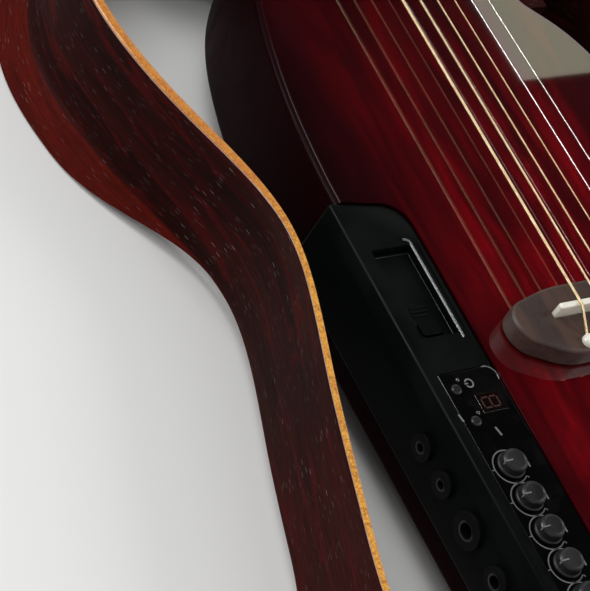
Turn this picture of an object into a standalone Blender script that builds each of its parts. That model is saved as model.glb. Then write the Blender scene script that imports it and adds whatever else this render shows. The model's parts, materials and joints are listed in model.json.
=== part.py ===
"""Silent guitar with a slim solid body and two bent side frames, modelled piece by piece.

Sizes below are in millimetres. +Z is the string side, +Y runs to the head and -X is the bass side.
The origin lies on the flat back of the body, on the centre line, straight under the saddle.
"""
import math

import bmesh
import bpy
import numpy as np
from mathutils import Matrix, Vector

MM = 0.001
GAP = 0.3  # clearance between pieces that touch or run in each other

# Strings and scale
SCALE_LENGTH = 634.0
FRETS = 20
NUT_SPREAD = 36.0
SADDLE_SPREAD = 52.0
STRING_RADII = (0.66, 0.53, 0.41, 0.31, 0.25, 0.2)
STRING_TURNS = 2.25
TURN_GAP = 0.45
POINTS_A_TURN = 12

# Body core
CORE_THICKNESS = 58.0
TAIL_Y = -198.0
SHOULDER_Y = 284.0
CORE_HALF_WIDTH = 100.0
CORE_TREBLE_HALF_WIDTH = 95.0
CORE_TAIL_HALF_WIDTH = 60.0
CORE_TAIL_RUN = 34.0
CORE_NECK_HALF_WIDTH = 45.0
CORE_NECK_RUN = 40.0
CORE_FLARE = 26.0
CORE_EDGE_RADIUS = 4.0
FLANK_STEPS = 10

# Side frames
FRAME_THICKNESS = 4.4
FRAME_DROP = 8.6  # the frame's front edge lies this far behind the body's top
WAIST_DEPTH = 57.5
BOUT_EXTRA_DEPTH = 8.0
UPPER_DROP_FROM = 13.5  # from the waist to where the back edge starts to drop
UPPER_DROP_RUN = 82.0
LIP_HEIGHT = 1.5
LIP_FLARE = 14.0
LOWER_BOUT_HALF = 172.0
LOWER_BOUT_Y = -120.0
WAIST_HALF = 124.4
WAIST_Y = 76.5
UPPER_BOUT_HALF = 156.0
UPPER_BOUT_Y = 204.0
HORN_HALF = 141.0
HORN_Y = 166.0
HORN_TIP_Y = 208.0
HORN_END_DROP = 4.0  # the horn's end lies this far below its tip
HORN_SEAT_LOW = 30.0
HORN_SEAT_HIGH = 12.0
HORN_SEAT_INSET = 8.0
FRAME_INSET_Y = 4.0
FRAME_STEPS = 46
BLOCK_LENGTH = 32.0
BLOCK_DEPTH = 20.0
BLOCK_LOW = 6.0
BLOCK_HIGH = 42.0
LOCK_RADIUS = 8.0
LOCK_THICKNESS = 7.0
LOCK_SHANK_RADIUS = 3.0
LOCK_REACH = 24.0

# Neck, fingerboard and head
NECK_TOP_RISE = 7.4  # neck top above the body's top
NUT_WIDTH = 43.0
BOARD_END_WIDTH = 55.0
BOARD_THICKNESS = 5.6
BOARD_LIP = 3.2  # from the last fret to the board's end
FRET_WIDTH = 2.4
FRET_HEIGHT = 1.1
NECK_DEPTH_NUT = 15.0
NECK_DEPTH_HEEL = 18.0
HEEL_DEPTH = 56.0
HEEL_LENGTH = 44.0
NECK_ARC_STEPS = 10
TONGUE_INSET = 2.0
NUT_LENGTH = 5.0
NUT_RISE = 0.2  # nut top above the fret tops
TRUSS_RADIUS = 2.6
TRUSS_START_Y = 310.0
HEAD_ANGLE = 14.0
HEAD_LENGTH = 150.0
HEAD_HALF_WIDTH = 38.0
HEAD_THICKNESS = 14.0
HEAD_ROOT = 7.0  # how far the head's block reaches back into the neck
VENEER_THICKNESS = 1.8

# Tuners, placed along the head from the nut
TUNER_FIRST = 38.0
TUNER_PITCH = 38.0
TUNER_X = 21.0
POST_RADIUS = 3.0
POST_WAIST_RADIUS = 2.6
POST_GEAR_RADIUS = 4.0
POST_HEIGHT = 15.0
POST_WIND_TOP = 10.5
GEAR_HEIGHT = 6.5
HOUSING_SIZE = (19.0, 18.0, 9.4)
WORM_RADIUS = 1.5
KEY_REACH = 25.5  # from the post to the key's button
KEY_BUTTON_LENGTH = 16.0
KEY_BUTTON_HALF = 9.0

# Bridge and pickup
BRIDGE_HALF_LENGTH = 56.0
BRIDGE_FRONT = 14.0
BRIDGE_BACK = 20.0
BRIDGE_HEIGHT = 11.0
SADDLE_HALF_LENGTH = 36.0
SADDLE_THICKNESS = 3.0
SADDLE_RISE = 18.0  # saddle top above the body's top
PICKUP_HEIGHT = 1.2
SLOT_DEPTH = 5.0
PIN_LINE = 13.0

# Control housing on the bass edge
HOUSING_INNER_X = -68.7
HOUSING_OUTER_X = -103.5
HOUSING_NECK_Y = 74.0
HOUSING_NECK_SLANT = 4.0  # the outer neck corner lies this far above the inner one
HOUSING_TAIL_Y = -134.0
HOUSING_TOP_DROP = 0.8
HOUSING_DEPTH = 41.0
HOUSING_CORNER = 14.0
HOUSING_WALL = 2.0
DOOR_LENGTH = 44.0
DOOR_WIDTH = 20.4
DOOR_THICKNESS = 2.0
DOOR_CENTRE_X = -85.6
DOOR_NECK_Y = 51.2
DOOR_DROP = 3.3
HINGE_INSET = 1.2
HINGE_GAP = 0.7
HINGE_RELIEF = 1.0  # room under the hinge for the door's turning end
BAY_ROOF = 2.2
BATTERY_RADIUS = 7.2
BATTERY_LENGTH = 49.0
BATTERY_NUB = 1.2
CONTACT_THICKNESS = 0.6
BAY_SLACK = 1.2
PANEL_WIDTH = 29.2
PANEL_CORNER = 5.0
PANEL_NECK_Y = -10.6
PANEL_TAIL_Y = -128.0
PANEL_THICKNESS = 1.6
PANEL_LEDGE = 2.0
KNOB_X = -88.0
KNOB_FIRST_Y = -57.0
KNOB_PITCH = 15.5
KNOB_RADIUS = 6.2
KNOB_HEIGHT = 5.6
KNOB_SHAFT_RADIUS = 2.5
KNOB_NAMES = ("volume_knob", "treble_knob", "bass_knob", "effect_knob", "blend_knob")
BUTTON_RADIUS = 2.4
BUTTON_RISE = 1.3
BUTTON_TRAVEL = 0.8
POWER_BUTTON_AT = (-93.0, -19.0)
TUNER_BUTTON_AT = (-92.0, -34.5)
DISPLAY_AT = (-79.3, -27.0)
DISPLAY_SIZE = (12.0, 9.0)
BOARD_DROP = 11.0
PCB_THICKNESS = 1.6
POT_HEIGHT = 5.0
POT_HALF = 4.8
SWITCH_HALF = 2.2
JACK_DEPTH = 22.0  # below the housing's top
JACKS = (
    ("phones_jack", -30.0, 4.4, 1.8),
    ("aux_jack", -48.0, 4.4, 1.8),
    ("line_jack", -70.0, 6.6, 3.4),
    ("power_inlet", -94.0, 5.0, 2.7),
)
JACK_LENGTH = 17.0
JACK_FLANGE = 1.6

# Back cover and strap pins
COVER_CENTRE = (-22.0, 66.0)
COVER_SIZE = (66.0, 88.0)
COVER_THICKNESS = 1.8
COVER_LEDGE = 5.0
CAVITY_DEPTH = 24.0
STRAP_PIN_RADIUS = 7.0
STRAP_PIN_LENGTH = 13.0
STRAP_PIN_DEPTH = 20.0
STRAP_SCREW_RADIUS = 2.0

# Levels and places worked out from the sizes above
TOP_Z = CORE_THICKNESS
FRAME_FRONT_Z = TOP_Z - FRAME_DROP
WAIST_BACK_Z = FRAME_FRONT_Z - WAIST_DEPTH
FRAME_TAIL_Y = TAIL_Y + FRAME_INSET_Y
FRAME_SHOULDER_Y = SHOULDER_Y - FRAME_INSET_Y
NECK_TOP_Z = TOP_Z + NECK_TOP_RISE
BOARD_TOP_Z = NECK_TOP_Z + GAP + BOARD_THICKNESS
NUT_TOP_Z = BOARD_TOP_Z + FRET_HEIGHT + NUT_RISE
SADDLE_TOP_Z = TOP_Z + SADDLE_RISE
BRIDGE_TOP_Z = TOP_Z + GAP + BRIDGE_HEIGHT
HEAD_START_Y = SCALE_LENGTH + NUT_LENGTH + GAP
HOUSING_TOP_Z = TOP_Z - HOUSING_TOP_DROP
HOUSING_LOW_Z = HOUSING_TOP_Z - HOUSING_DEPTH
DOOR_TOP_Z = HOUSING_TOP_Z - DOOR_DROP
PANEL_CENTRE_X = HOUSING_INNER_X - PANEL_WIDTH / 2
BOARD_END_Y = SCALE_LENGTH * 2 ** (-FRETS / 12) - BOARD_LIP
PCB_TOP_Z = HOUSING_TOP_Z - BOARD_DROP


def material(name, colour, roughness, metallic=0.0):
    made = bpy.data.materials.new(name)
    made.use_nodes = True
    shader = made.node_tree.nodes["Principled BSDF"]
    shader.inputs["Base Color"].default_value = (*colour, 1.0)
    shader.inputs["Roughness"].default_value = roughness
    shader.inputs["Metallic"].default_value = metallic
    return made


def add_object(name, mesh, skin=None, helper=False):
    made = bpy.data.objects.new(name, mesh)
    bpy.context.scene.collection.objects.link(made)
    if skin:
        mesh.materials.append(skin)
    if helper:
        made.hide_render = True
        made.display_type = "WIRE"
    return made


def mesh_from(name, build):
    """Runs build on an empty bmesh and returns the mesh, with its faces pointing out."""
    bm = bmesh.new()
    build(bm)
    bmesh.ops.recalc_face_normals(bm, faces=bm.faces)
    mesh = bpy.data.meshes.new(name)
    bm.to_mesh(mesh)
    bm.free()
    return mesh


def prism(name, outline, low, high, skin=None, helper=False, bevel=0.0, steps=2):
    """A flat outline of (x, y) points raised from z low to z high, with its long edges rounded."""

    def build(bm):
        ring = [bm.verts.new((x * MM, y * MM, low * MM)) for x, y in outline]
        floor = bm.faces.new(ring)
        raised = bmesh.ops.extrude_face_region(bm, geom=[floor])
        tops = [item for item in raised["geom"] if isinstance(item, bmesh.types.BMVert)]
        bmesh.ops.translate(bm, verts=tops, vec=(0, 0, (high - low) * MM))

    made = add_object(name, mesh_from(name, build), skin, helper)
    if bevel:
        rounding = made.modifiers.new("edge", "BEVEL")
        rounding.width = bevel * MM
        rounding.segments = steps
        rounding.limit_method = "ANGLE"
        rounding.angle_limit = math.radians(50)
    return made


def box(name, low, high, skin=None, helper=False, bevel=0.0):
    outline = ((low[0], low[1]), (high[0], low[1]), (high[0], high[1]), (low[0], high[1]))
    return prism(name, outline, low[2], high[2], skin, helper, bevel, 1)


def turned(name, profile, sides, skin=None, helper=False):
    """A turned piece on its own Z axis from (radius, height) points."""

    def build(bm):
        rings = []
        turns = [2 * math.pi * k / sides for k in range(sides)]
        for radius, height in profile:
            ring = [(radius * math.cos(a) * MM, radius * math.sin(a) * MM, height * MM) for a in turns]
            rings.append([bm.verts.new(point) for point in ring])
        for low, high in zip(rings, rings[1:]):
            for k in range(sides):
                after = (k + 1) % sides
                bm.faces.new((low[k], low[after], high[after], high[k]))
        bm.faces.new(rings[0])
        bm.faces.new(rings[-1])

    made = add_object(name, mesh_from(name, build), skin, helper)
    made.data.shade_smooth()
    made.data.set_sharp_from_angle(angle=math.radians(35))
    return made


def place(made, at, turn=None, parent=None):
    """Puts a piece at a point in mm, turned by a matrix, in world space or under a parent."""
    matrix = Matrix.Translation(Vector(at) * MM) @ (turn.to_4x4() if turn else Matrix())
    if parent:
        made.parent = parent
    made.matrix_local = matrix
    return made


def combine(target, tool, operation):
    step = target.modifiers.new(tool.name, "BOOLEAN")
    step.operation = operation
    step.object = tool
    tool.hide_render = True
    tool.display_type = "WIRE"


def cut(target, tool):
    combine(target, tool, "DIFFERENCE")


def fuse(target, tool):
    combine(target, tool, "UNION")


def smooth_curve(points, count):
    """Evenly spaced points on a natural cubic spline through the given points."""
    points = np.array(points, float)
    knots = np.concatenate([[0], np.cumsum(np.linalg.norm(np.diff(points, axis=0), axis=1))])
    size = len(points)
    step = np.diff(knots)
    system = np.zeros((size, size))
    right = np.zeros(points.shape)
    system[0, 0] = system[-1, -1] = 1.0
    for k in range(1, size - 1):
        system[k, k - 1 : k + 2] = step[k - 1], 2 * (step[k - 1] + step[k]), step[k]
        right[k] = 6 * ((points[k + 1] - points[k]) / step[k] - (points[k] - points[k - 1]) / step[k - 1])
    bend = np.linalg.solve(system, right)

    def at(where):
        k = min(np.searchsorted(knots, where, side="right") - 1, size - 2)
        k = max(k, 0)
        a, b, h = knots[k + 1] - where, where - knots[k], step[k]
        ends = (points[k] / h - bend[k] * h / 6) * a + (points[k + 1] / h - bend[k + 1] * h / 6) * b
        return ends + (bend[k] * a**3 + bend[k + 1] * b**3) / (6 * h)

    return np.array([at(where) for where in np.linspace(0, knots[-1], count)])


def tube(name, points, radius, skin):
    """A thin round wire along the points, as a curve with filled ends."""
    curve = bpy.data.curves.new(name, "CURVE")
    curve.dimensions = "3D"
    curve.bevel_depth = radius * MM
    curve.bevel_resolution = 1
    curve.use_fill_caps = True
    spline = curve.splines.new("POLY")
    spline.points.add(len(points) - 1)
    for slot, point in zip(spline.points, points):
        slot.co = (point[0] * MM, point[1] * MM, point[2] * MM, 1.0)
    made = bpy.data.objects.new(name, curve)
    bpy.context.scene.collection.objects.link(made)
    curve.materials.append(skin)
    return made


def quarter(centre, radius, start, steps=4):
    """Points on a quarter circle, anticlockwise from the start angle in degrees."""
    angles = [math.radians(start + 90 * k / steps) for k in range(steps + 1)]
    return [(centre[0] + radius * math.cos(a), centre[1] + radius * math.sin(a)) for a in angles]


def ease(value):
    value = min(max(value, 0.0), 1.0)
    return value * value * (3 - 2 * value)


ALONG_X = Matrix.Rotation(math.radians(90), 3, "Y")  # turns a piece's own +Z to +X
ALONG_MINUS_X = Matrix.Rotation(math.radians(-90), 3, "Y")
ALONG_MINUS_Y = Matrix.Rotation(math.radians(90), 3, "X")


def housing_outline(grow=0.0):
    """The control housing seen from the front: a bar with a slanted neck end and one well rounded corner."""
    inner = HOUSING_INNER_X + grow
    neck = HOUSING_NECK_Y + grow
    tail = HOUSING_TAIL_Y - grow
    outer = HOUSING_OUTER_X - grow
    corner = quarter((inner - HOUSING_CORNER, neck - HOUSING_CORNER), HOUSING_CORNER, 0)
    return [(outer, tail), (inner, tail), *corner, (outer, neck + HOUSING_NECK_SLANT)]


def core_outline(horn_x):
    """The body seen from the front: square ends for the frames, with curved flanks between them."""
    tail_break = TAIL_Y + CORE_TAIL_RUN
    neck_break = SHOULDER_Y - CORE_NECK_RUN
    full_from = tail_break + CORE_FLARE
    taper_from = HOUSING_NECK_Y + HOUSING_NECK_SLANT + 8.0

    def tail_flank(full):
        swell = full - CORE_TAIL_HALF_WIDTH
        stops = ((0.0, 0.0), (0.42, 0.22), (0.9, 0.68), (1.0, 1.0))
        return [(CORE_TAIL_HALF_WIDTH + a * swell, tail_break + b * (full_from - tail_break)) for a, b in stops]

    taper = neck_break - taper_from
    narrowing = CORE_HALF_WIDTH - CORE_NECK_HALF_WIDTH
    bass_stops = ((0.0, 0.0), (0.05, 0.22), (0.2, 0.5), (0.56, 0.82), (1.0, 1.0))
    bass_taper = [(CORE_HALF_WIDTH - a * narrowing, taper_from + b * taper) for a, b in bass_stops]
    horn_low = HORN_TIP_Y - HORN_END_DROP - HORN_SEAT_LOW
    treble_narrowing = CORE_TREBLE_HALF_WIDTH - horn_x
    treble_stops = ((0.0, 0.0), (0.12, 0.36), (0.52, 0.78), (1.0, 1.0))
    treble_taper = [
        (CORE_TREBLE_HALF_WIDTH - a * treble_narrowing, taper_from + b * (horn_low - taper_from))
        for a, b in treble_stops
    ]
    bass = [(CORE_TAIL_HALF_WIDTH, TAIL_Y)]
    bass += list(smooth_curve(tail_flank(CORE_HALF_WIDTH), FLANK_STEPS))
    bass += list(smooth_curve(bass_taper, FLANK_STEPS)) + [(CORE_NECK_HALF_WIDTH, SHOULDER_Y)]
    treble = [(CORE_TAIL_HALF_WIDTH, TAIL_Y)]
    treble += list(smooth_curve(tail_flank(CORE_TREBLE_HALF_WIDTH), FLANK_STEPS))
    treble += list(smooth_curve(treble_taper, FLANK_STEPS))
    treble += [(horn_x, HORN_TIP_Y + HORN_SEAT_HIGH), (CORE_NECK_HALF_WIDTH, neck_break)]
    treble += [(CORE_NECK_HALF_WIDTH, SHOULDER_Y)]
    return [(-x, y) for x, y in bass] + list(reversed(treble))


def make_core():
    horn_x = (CORE_TREBLE_HALF_WIDTH + CORE_NECK_HALF_WIDTH) / 2 - HORN_SEAT_INSET
    skin = material("crimson_gloss", (0.16, 0.006, 0.012), 0.08)
    core = prism("body_core", core_outline(horn_x), 0.0, TOP_Z, skin, bevel=CORE_EDGE_RADIUS)

    pocket = prism("core_housing_pocket", housing_outline(GAP), HOUSING_LOW_Z - GAP, TOP_Z + 10.0)
    cut(core, pocket)

    half_x, half_y = COVER_SIZE[0] / 2, COVER_SIZE[1] / 2
    seat = box(
        "core_cover_seat",
        (COVER_CENTRE[0] - half_x - GAP, COVER_CENTRE[1] - half_y - GAP, -10.0),
        (COVER_CENTRE[0] + half_x + GAP, COVER_CENTRE[1] + half_y + GAP, COVER_THICKNESS + GAP),
    )
    cut(core, seat)
    cavity = box(
        "core_cavity",
        (COVER_CENTRE[0] - half_x + COVER_LEDGE, COVER_CENTRE[1] - half_y + COVER_LEDGE, -9.0),
        (COVER_CENTRE[0] + half_x - COVER_LEDGE, COVER_CENTRE[1] + half_y - COVER_LEDGE, CAVITY_DEPTH),
    )
    cut(core, cavity)
    box(
        "back_cover",
        (COVER_CENTRE[0] - half_x, COVER_CENTRE[1] - half_y, 0.0),
        (COVER_CENTRE[0] + half_x, COVER_CENTRE[1] + half_y, COVER_THICKNESS),
        material("cover_black", (0.012, 0.012, 0.013), 0.5),
        bevel=0.4,
    )

    strap_skin = material("strap_pin_chrome", (0.8, 0.8, 0.82), 0.15, 1.0)
    middle_z = CORE_THICKNESS / 2
    neck_pin_y = SHOULDER_Y - CORE_NECK_RUN / 2 + 6.0
    hole_radius = STRAP_SCREW_RADIUS + GAP
    for name, at, turn in (
        ("strap_pin_tail", (0.0, TAIL_Y - GAP, middle_z), ALONG_MINUS_Y),
        ("strap_pin_neck", (CORE_NECK_HALF_WIDTH + GAP, neck_pin_y, middle_z), ALONG_X),
    ):
        place(turned(name, strap_pin_profile(), 16, strap_skin), at, turn)
        bore = ((hole_radius, -STRAP_PIN_DEPTH - GAP), (hole_radius, 6.0))
        hole = turned(name + "_hole", bore, 12, helper=True)
        place(hole, at, turn)
        cut(core, hole)
    return core, horn_x


def strap_pin_profile():
    """A strap button with its screw: the screw's shank is below zero."""
    radius, length = STRAP_PIN_RADIUS, STRAP_PIN_LENGTH
    return (
        (STRAP_SCREW_RADIUS, -STRAP_PIN_DEPTH),
        (STRAP_SCREW_RADIUS, 0.0),
        (radius * 0.8, 0.0),
        (radius * 0.8, 2.0),
        (radius * 0.5, 4.5),
        (radius * 0.5, length - 4.0),
        (radius, length - 1.5),
        (radius, length - 0.5),
        (radius - 0.8, length),
    )


def frame_route(treble, end_x):
    """The frame's outer face seen from the front, from its tail end to its neck end, on the +X side."""
    tail_run = [
        (CORE_TAIL_HALF_WIDTH + GAP, FRAME_TAIL_Y),
        (CORE_TAIL_HALF_WIDTH + 26.0, FRAME_TAIL_Y),
        (LOWER_BOUT_HALF * 0.66, FRAME_TAIL_Y + 5.0),
        (LOWER_BOUT_HALF * 0.86, FRAME_TAIL_Y + 20.0),
        (LOWER_BOUT_HALF * 0.965, FRAME_TAIL_Y + 42.0),
        (LOWER_BOUT_HALF, LOWER_BOUT_Y),
    ]
    rise = WAIST_Y - LOWER_BOUT_Y
    narrowing = LOWER_BOUT_HALF - WAIST_HALF
    waist_run = [
        (LOWER_BOUT_HALF - 0.26 * narrowing, LOWER_BOUT_Y + 0.33 * rise),
        (LOWER_BOUT_HALF - 0.622 * narrowing, LOWER_BOUT_Y + 0.63 * rise),
        (WAIST_HALF + 0.081 * narrowing, LOWER_BOUT_Y + 0.86 * rise),
        (WAIST_HALF, WAIST_Y),
    ]
    if treble:
        swell = HORN_HALF - WAIST_HALF
        horn = [
            (WAIST_HALF + 0.42 * swell, WAIST_Y + 0.42 * (HORN_Y - WAIST_Y)),
            (HORN_HALF, HORN_Y),
            (HORN_HALF - 7.0, HORN_TIP_Y - 14.0),
            (HORN_HALF - 24.0, HORN_TIP_Y),
            (end_x + 26.0, HORN_TIP_Y - HORN_END_DROP),
            (end_x + GAP, HORN_TIP_Y - HORN_END_DROP),
        ]
        return tail_run + waist_run + horn
    swell = UPPER_BOUT_HALF - WAIST_HALF
    climb = UPPER_BOUT_Y - WAIST_Y
    shoulder = FRAME_SHOULDER_Y - UPPER_BOUT_Y
    upper = [
        (WAIST_HALF + 0.24 * swell, WAIST_Y + 0.28 * climb),
        (WAIST_HALF + 0.66 * swell, WAIST_Y + 0.56 * climb),
        (UPPER_BOUT_HALF - 0.06 * swell, WAIST_Y + 0.83 * climb),
        (UPPER_BOUT_HALF, UPPER_BOUT_Y),
        (UPPER_BOUT_HALF - 9.0, UPPER_BOUT_Y + 0.5 * shoulder),
        (UPPER_BOUT_HALF - 33.0, FRAME_SHOULDER_Y - 9.0),
        (end_x + 34.0, FRAME_SHOULDER_Y),
        (end_x + GAP, FRAME_SHOULDER_Y),
    ]
    return tail_run + waist_run + upper


def make_frame(name, treble, end_x, skin):
    """A bent band whose back edge drops at both bouts and flares out a little on the upper one."""
    route = smooth_curve(frame_route(treble, end_x), FRAME_STEPS)
    ahead = np.gradient(route, axis=0)
    ahead /= np.linalg.norm(ahead, axis=1)[:, None]
    ahead[0] = (1.0, 0.0)  # both ends meet the body's side square on
    ahead[-1] = (-1.0, 0.0)
    outward = np.stack([ahead[:, 1], -ahead[:, 0]], axis=1)
    side = 1 if treble else -1
    sections = []
    for point, normal in zip(route, outward):
        upper = ease((point[1] - WAIST_Y - UPPER_DROP_FROM) / UPPER_DROP_RUN)
        lower = ease((LOWER_BOUT_Y + 75.0 - point[1]) / 60.0)
        away = ease((point[0] - end_x - 22.0) / 40.0)
        low_z = WAIST_BACK_Z - BOUT_EXTRA_DEPTH * max(upper, lower)
        lip_z = WAIST_BACK_Z + LIP_HEIGHT
        flare = LIP_FLARE * upper * away
        inner = point - normal * FRAME_THICKNESS
        section = (
            (point, FRAME_FRONT_Z),
            (point, lip_z),
            (point + normal * flare, low_z),
            (inner + normal * flare, low_z),
            (inner, lip_z),
            (inner, FRAME_FRONT_Z),
        )
        sections.append([(side * at[0], at[1], z) for at, z in section])

    def build(bm):
        rings = [[bm.verts.new([value * MM for value in corner]) for corner in ring] for ring in sections]
        for first, second in zip(rings, rings[1:]):
            for k in range(6):
                after = (k + 1) % 6
                bm.faces.new((first[k], first[after], second[after], second[k]))
        bm.faces.new(rings[0])
        bm.faces.new(rings[-1])

    band = add_object(name, mesh_from(name, build), skin)
    neck_y = (HORN_TIP_Y - HORN_END_DROP) if treble else FRAME_SHOULDER_Y
    overlap = FRAME_THICKNESS / 2
    ends = (
        ("tail", CORE_TAIL_HALF_WIDTH, FRAME_TAIL_Y + overlap, FRAME_TAIL_Y + FRAME_THICKNESS + BLOCK_DEPTH),
        ("neck", end_x, neck_y - FRAME_THICKNESS - BLOCK_DEPTH, neck_y - overlap),
    )
    for label, inner_x, low_y, high_y in ends:
        xs = sorted((side * (inner_x + GAP), side * (inner_x + BLOCK_LENGTH)))
        block = box(
            f"{name}_{label}_block",
            (xs[0], low_y, BLOCK_LOW),
            (xs[1], high_y, BLOCK_HIGH),
            helper=True,
        )
        fuse(band, block)
    return band


def lock_places():
    """The centre line of each lock screw, at the body's side face."""
    depth = FRAME_THICKNESS + BLOCK_DEPTH / 2 + 1.0
    middle_z = (BLOCK_LOW + BLOCK_HIGH) / 2
    return (
        ("frame_lock_tail", (-CORE_TAIL_HALF_WIDTH, FRAME_TAIL_Y + depth, middle_z)),
        ("frame_lock_neck", (-CORE_NECK_HALF_WIDTH, FRAME_SHOULDER_Y - depth, middle_z)),
    )


def make_frames(core, horn_x):
    skin = material("rosewood_ply", (0.08, 0.02, 0.015), 0.4)
    make_frame("treble_frame", True, horn_x, skin)
    bass = make_frame("bass_frame", False, CORE_NECK_HALF_WIDTH, skin)
    chrome = material("lock_chrome", (0.75, 0.75, 0.77), 0.2, 1.0)
    for name, at in lock_places():
        shank, head = LOCK_SHANK_RADIUS, LOCK_RADIUS
        start = BLOCK_LENGTH + GAP
        profile = (
            (shank, -LOCK_REACH),
            (shank, start),
            (head - 0.8, start),
            (head, start + 0.8),
            (head, start + LOCK_THICKNESS - 1.0),
            (head - 1.2, start + LOCK_THICKNESS),
        )
        place(turned(name, profile, 18, chrome), at, ALONG_MINUS_X)
        bore = ((shank + GAP, -LOCK_REACH - GAP), (shank + GAP, start + 5.0))
        hole = place(turned(name + "_hole", bore, 16, helper=True), at, ALONG_MINUS_X)
        cut(bass, hole)
        cut(core, hole)


def board_half_width(y):
    share = (y - BOARD_END_Y) / (SCALE_LENGTH - BOARD_END_Y)
    return (BOARD_END_WIDTH + (NUT_WIDTH - BOARD_END_WIDTH) * share) / 2


def make_neck():
    wood = material("neck_mahogany", (0.12, 0.045, 0.025), 0.35)
    start_y = SHOULDER_Y + GAP
    stations = []
    for share in (0.0, 0.18, 0.4, 0.62, 0.82, 1.0):
        depth = NECK_DEPTH_HEEL + (HEEL_DEPTH - NECK_DEPTH_HEEL) * (1 - ease(share)) ** 1.4
        stations.append((start_y + share * HEEL_LENGTH, depth))
    shaft_start = stations[-1][0]
    for share in (0.25, 0.5, 0.75, 1.0):
        y = shaft_start + share * (HEAD_START_Y - shaft_start)
        stations.append((y, NECK_DEPTH_HEEL + (NECK_DEPTH_NUT - NECK_DEPTH_HEEL) * share))

    def build(bm):
        rings = []
        for y, depth in stations:
            half = board_half_width(min(y, SCALE_LENGTH))
            ring = []
            for k in range(NECK_ARC_STEPS + 1):
                angle = math.pi * k / NECK_ARC_STEPS
                x = -half * math.cos(angle)
                z = NECK_TOP_Z - depth * math.sin(angle) ** 0.75
                ring.append(bm.verts.new((x * MM, y * MM, z * MM)))
            rings.append(ring)
        for first, second in zip(rings, rings[1:]):
            count = len(first)
            for k in range(count):
                after = (k + 1) % count
                bm.faces.new((first[k], first[after], second[after], second[k]))
        bm.faces.new(rings[0])
        bm.faces.new(rings[-1])

    neck = add_object("neck", mesh_from("neck", build), wood)
    low_half = board_half_width(BOARD_END_Y) - TONGUE_INSET
    high_half = board_half_width(SHOULDER_Y) - TONGUE_INSET
    tongue = prism(
        "neck_tongue",
        (
            (-low_half, BOARD_END_Y + TONGUE_INSET),
            (low_half, BOARD_END_Y + TONGUE_INSET),
            (high_half, SHOULDER_Y + 6.0),
            (-high_half, SHOULDER_Y + 6.0),
        ),
        TOP_Z + GAP,
        NECK_TOP_Z,
        helper=True,
    )
    fuse(neck, tongue)

    pivot = bpy.data.objects.new("head_pivot", None)
    bpy.context.scene.collection.objects.link(pivot)
    pivot.location = (0, HEAD_START_Y * MM, NECK_TOP_Z * MM)
    pivot.rotation_euler = (math.radians(-HEAD_ANGLE), 0, 0)

    block = prism("head_block", head_outline(-HEAD_ROOT), -HEAD_THICKNESS, 0.0, helper=True)
    place(block, (0, 0, 0), parent=pivot)
    above = box(
        "head_block_trim",
        (-NUT_WIDTH, HEAD_START_Y - 3 * HEAD_ROOT, NECK_TOP_Z),
        (NUT_WIDTH, HEAD_START_Y + HEAD_ROOT, NECK_TOP_Z + HEAD_ROOT),
        helper=True,
    )
    cut(block, above)
    fuse(neck, block)
    veneer = prism(
        "head_veneer",
        head_outline(1.5, 0.4),
        GAP,
        GAP + VENEER_THICKNESS,
        material("head_face", (0.03, 0.008, 0.008), 0.15),
    )
    place(veneer, (0, 0, 0), parent=pivot)

    groove_low = NECK_TOP_Z - 2 * TRUSS_RADIUS - 2 * GAP
    groove = box(
        "truss_groove",
        (-TRUSS_RADIUS - GAP, TRUSS_START_Y - GAP, groove_low),
        (TRUSS_RADIUS + GAP, HEAD_START_Y + 22.0, NECK_TOP_Z + 5.0),
    )
    cut(neck, groove)
    rod = turned(
        "truss_rod",
        (
            (TRUSS_RADIUS, 0.0),
            (TRUSS_RADIUS, HEAD_START_Y + 2.0 - TRUSS_START_Y),
            (TRUSS_RADIUS - 0.6, HEAD_START_Y + 8.0 - TRUSS_START_Y),
        ),
        12,
        material("steel_rod", (0.55, 0.55, 0.57), 0.35, 1.0),
    )
    rod_z = NECK_TOP_Z - TRUSS_RADIUS - GAP
    place(rod, (0, TRUSS_START_Y, rod_z), Matrix.Rotation(math.radians(-90), 3, "X"))

    window = prism(
        "truss_window",
        ((-5.5, -2.0), (5.5, -2.0), (5.5, 17.0), (0.0, 24.0), (-5.5, 17.0)),
        -1.0,
        6.0,
        helper=True,
    )
    place(window, (0, 0, 0), parent=pivot)
    cut(veneer, window)
    plate_z = 2 * GAP + VENEER_THICKNESS
    plate = prism(
        "truss_cover",
        ((-8.0, 3.5), (8.0, 3.5), (9.5, 19.0), (0.0, 29.0), (-9.5, 19.0)),
        plate_z,
        plate_z + 1.8,
        material("truss_cover_black", (0.012, 0.012, 0.012), 0.3),
        bevel=0.4,
        steps=1,
    )
    place(plate, (0, 0, 0), parent=pivot)
    return neck, veneer, pivot


def head_outline(start, inset=0.0):
    """The head seen square on, from the nut outwards, with a shallow crest at its end."""
    nut_half = NUT_WIDTH / 2 - inset
    wide = HEAD_HALF_WIDTH - inset
    length = HEAD_LENGTH - inset
    right = [
        (nut_half, start),
        (nut_half, 8.0),
        (wide - 4.0, 24.0),
        (wide - 2.0, length * 0.5),
        (wide, length - 14.0),
        (wide * 0.62, length - 4.0),
        (wide * 0.3, length - 1.0),
        (0.0, length),
    ]
    return right + [(-x, y) for x, y in reversed(right[:-1])]


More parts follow.
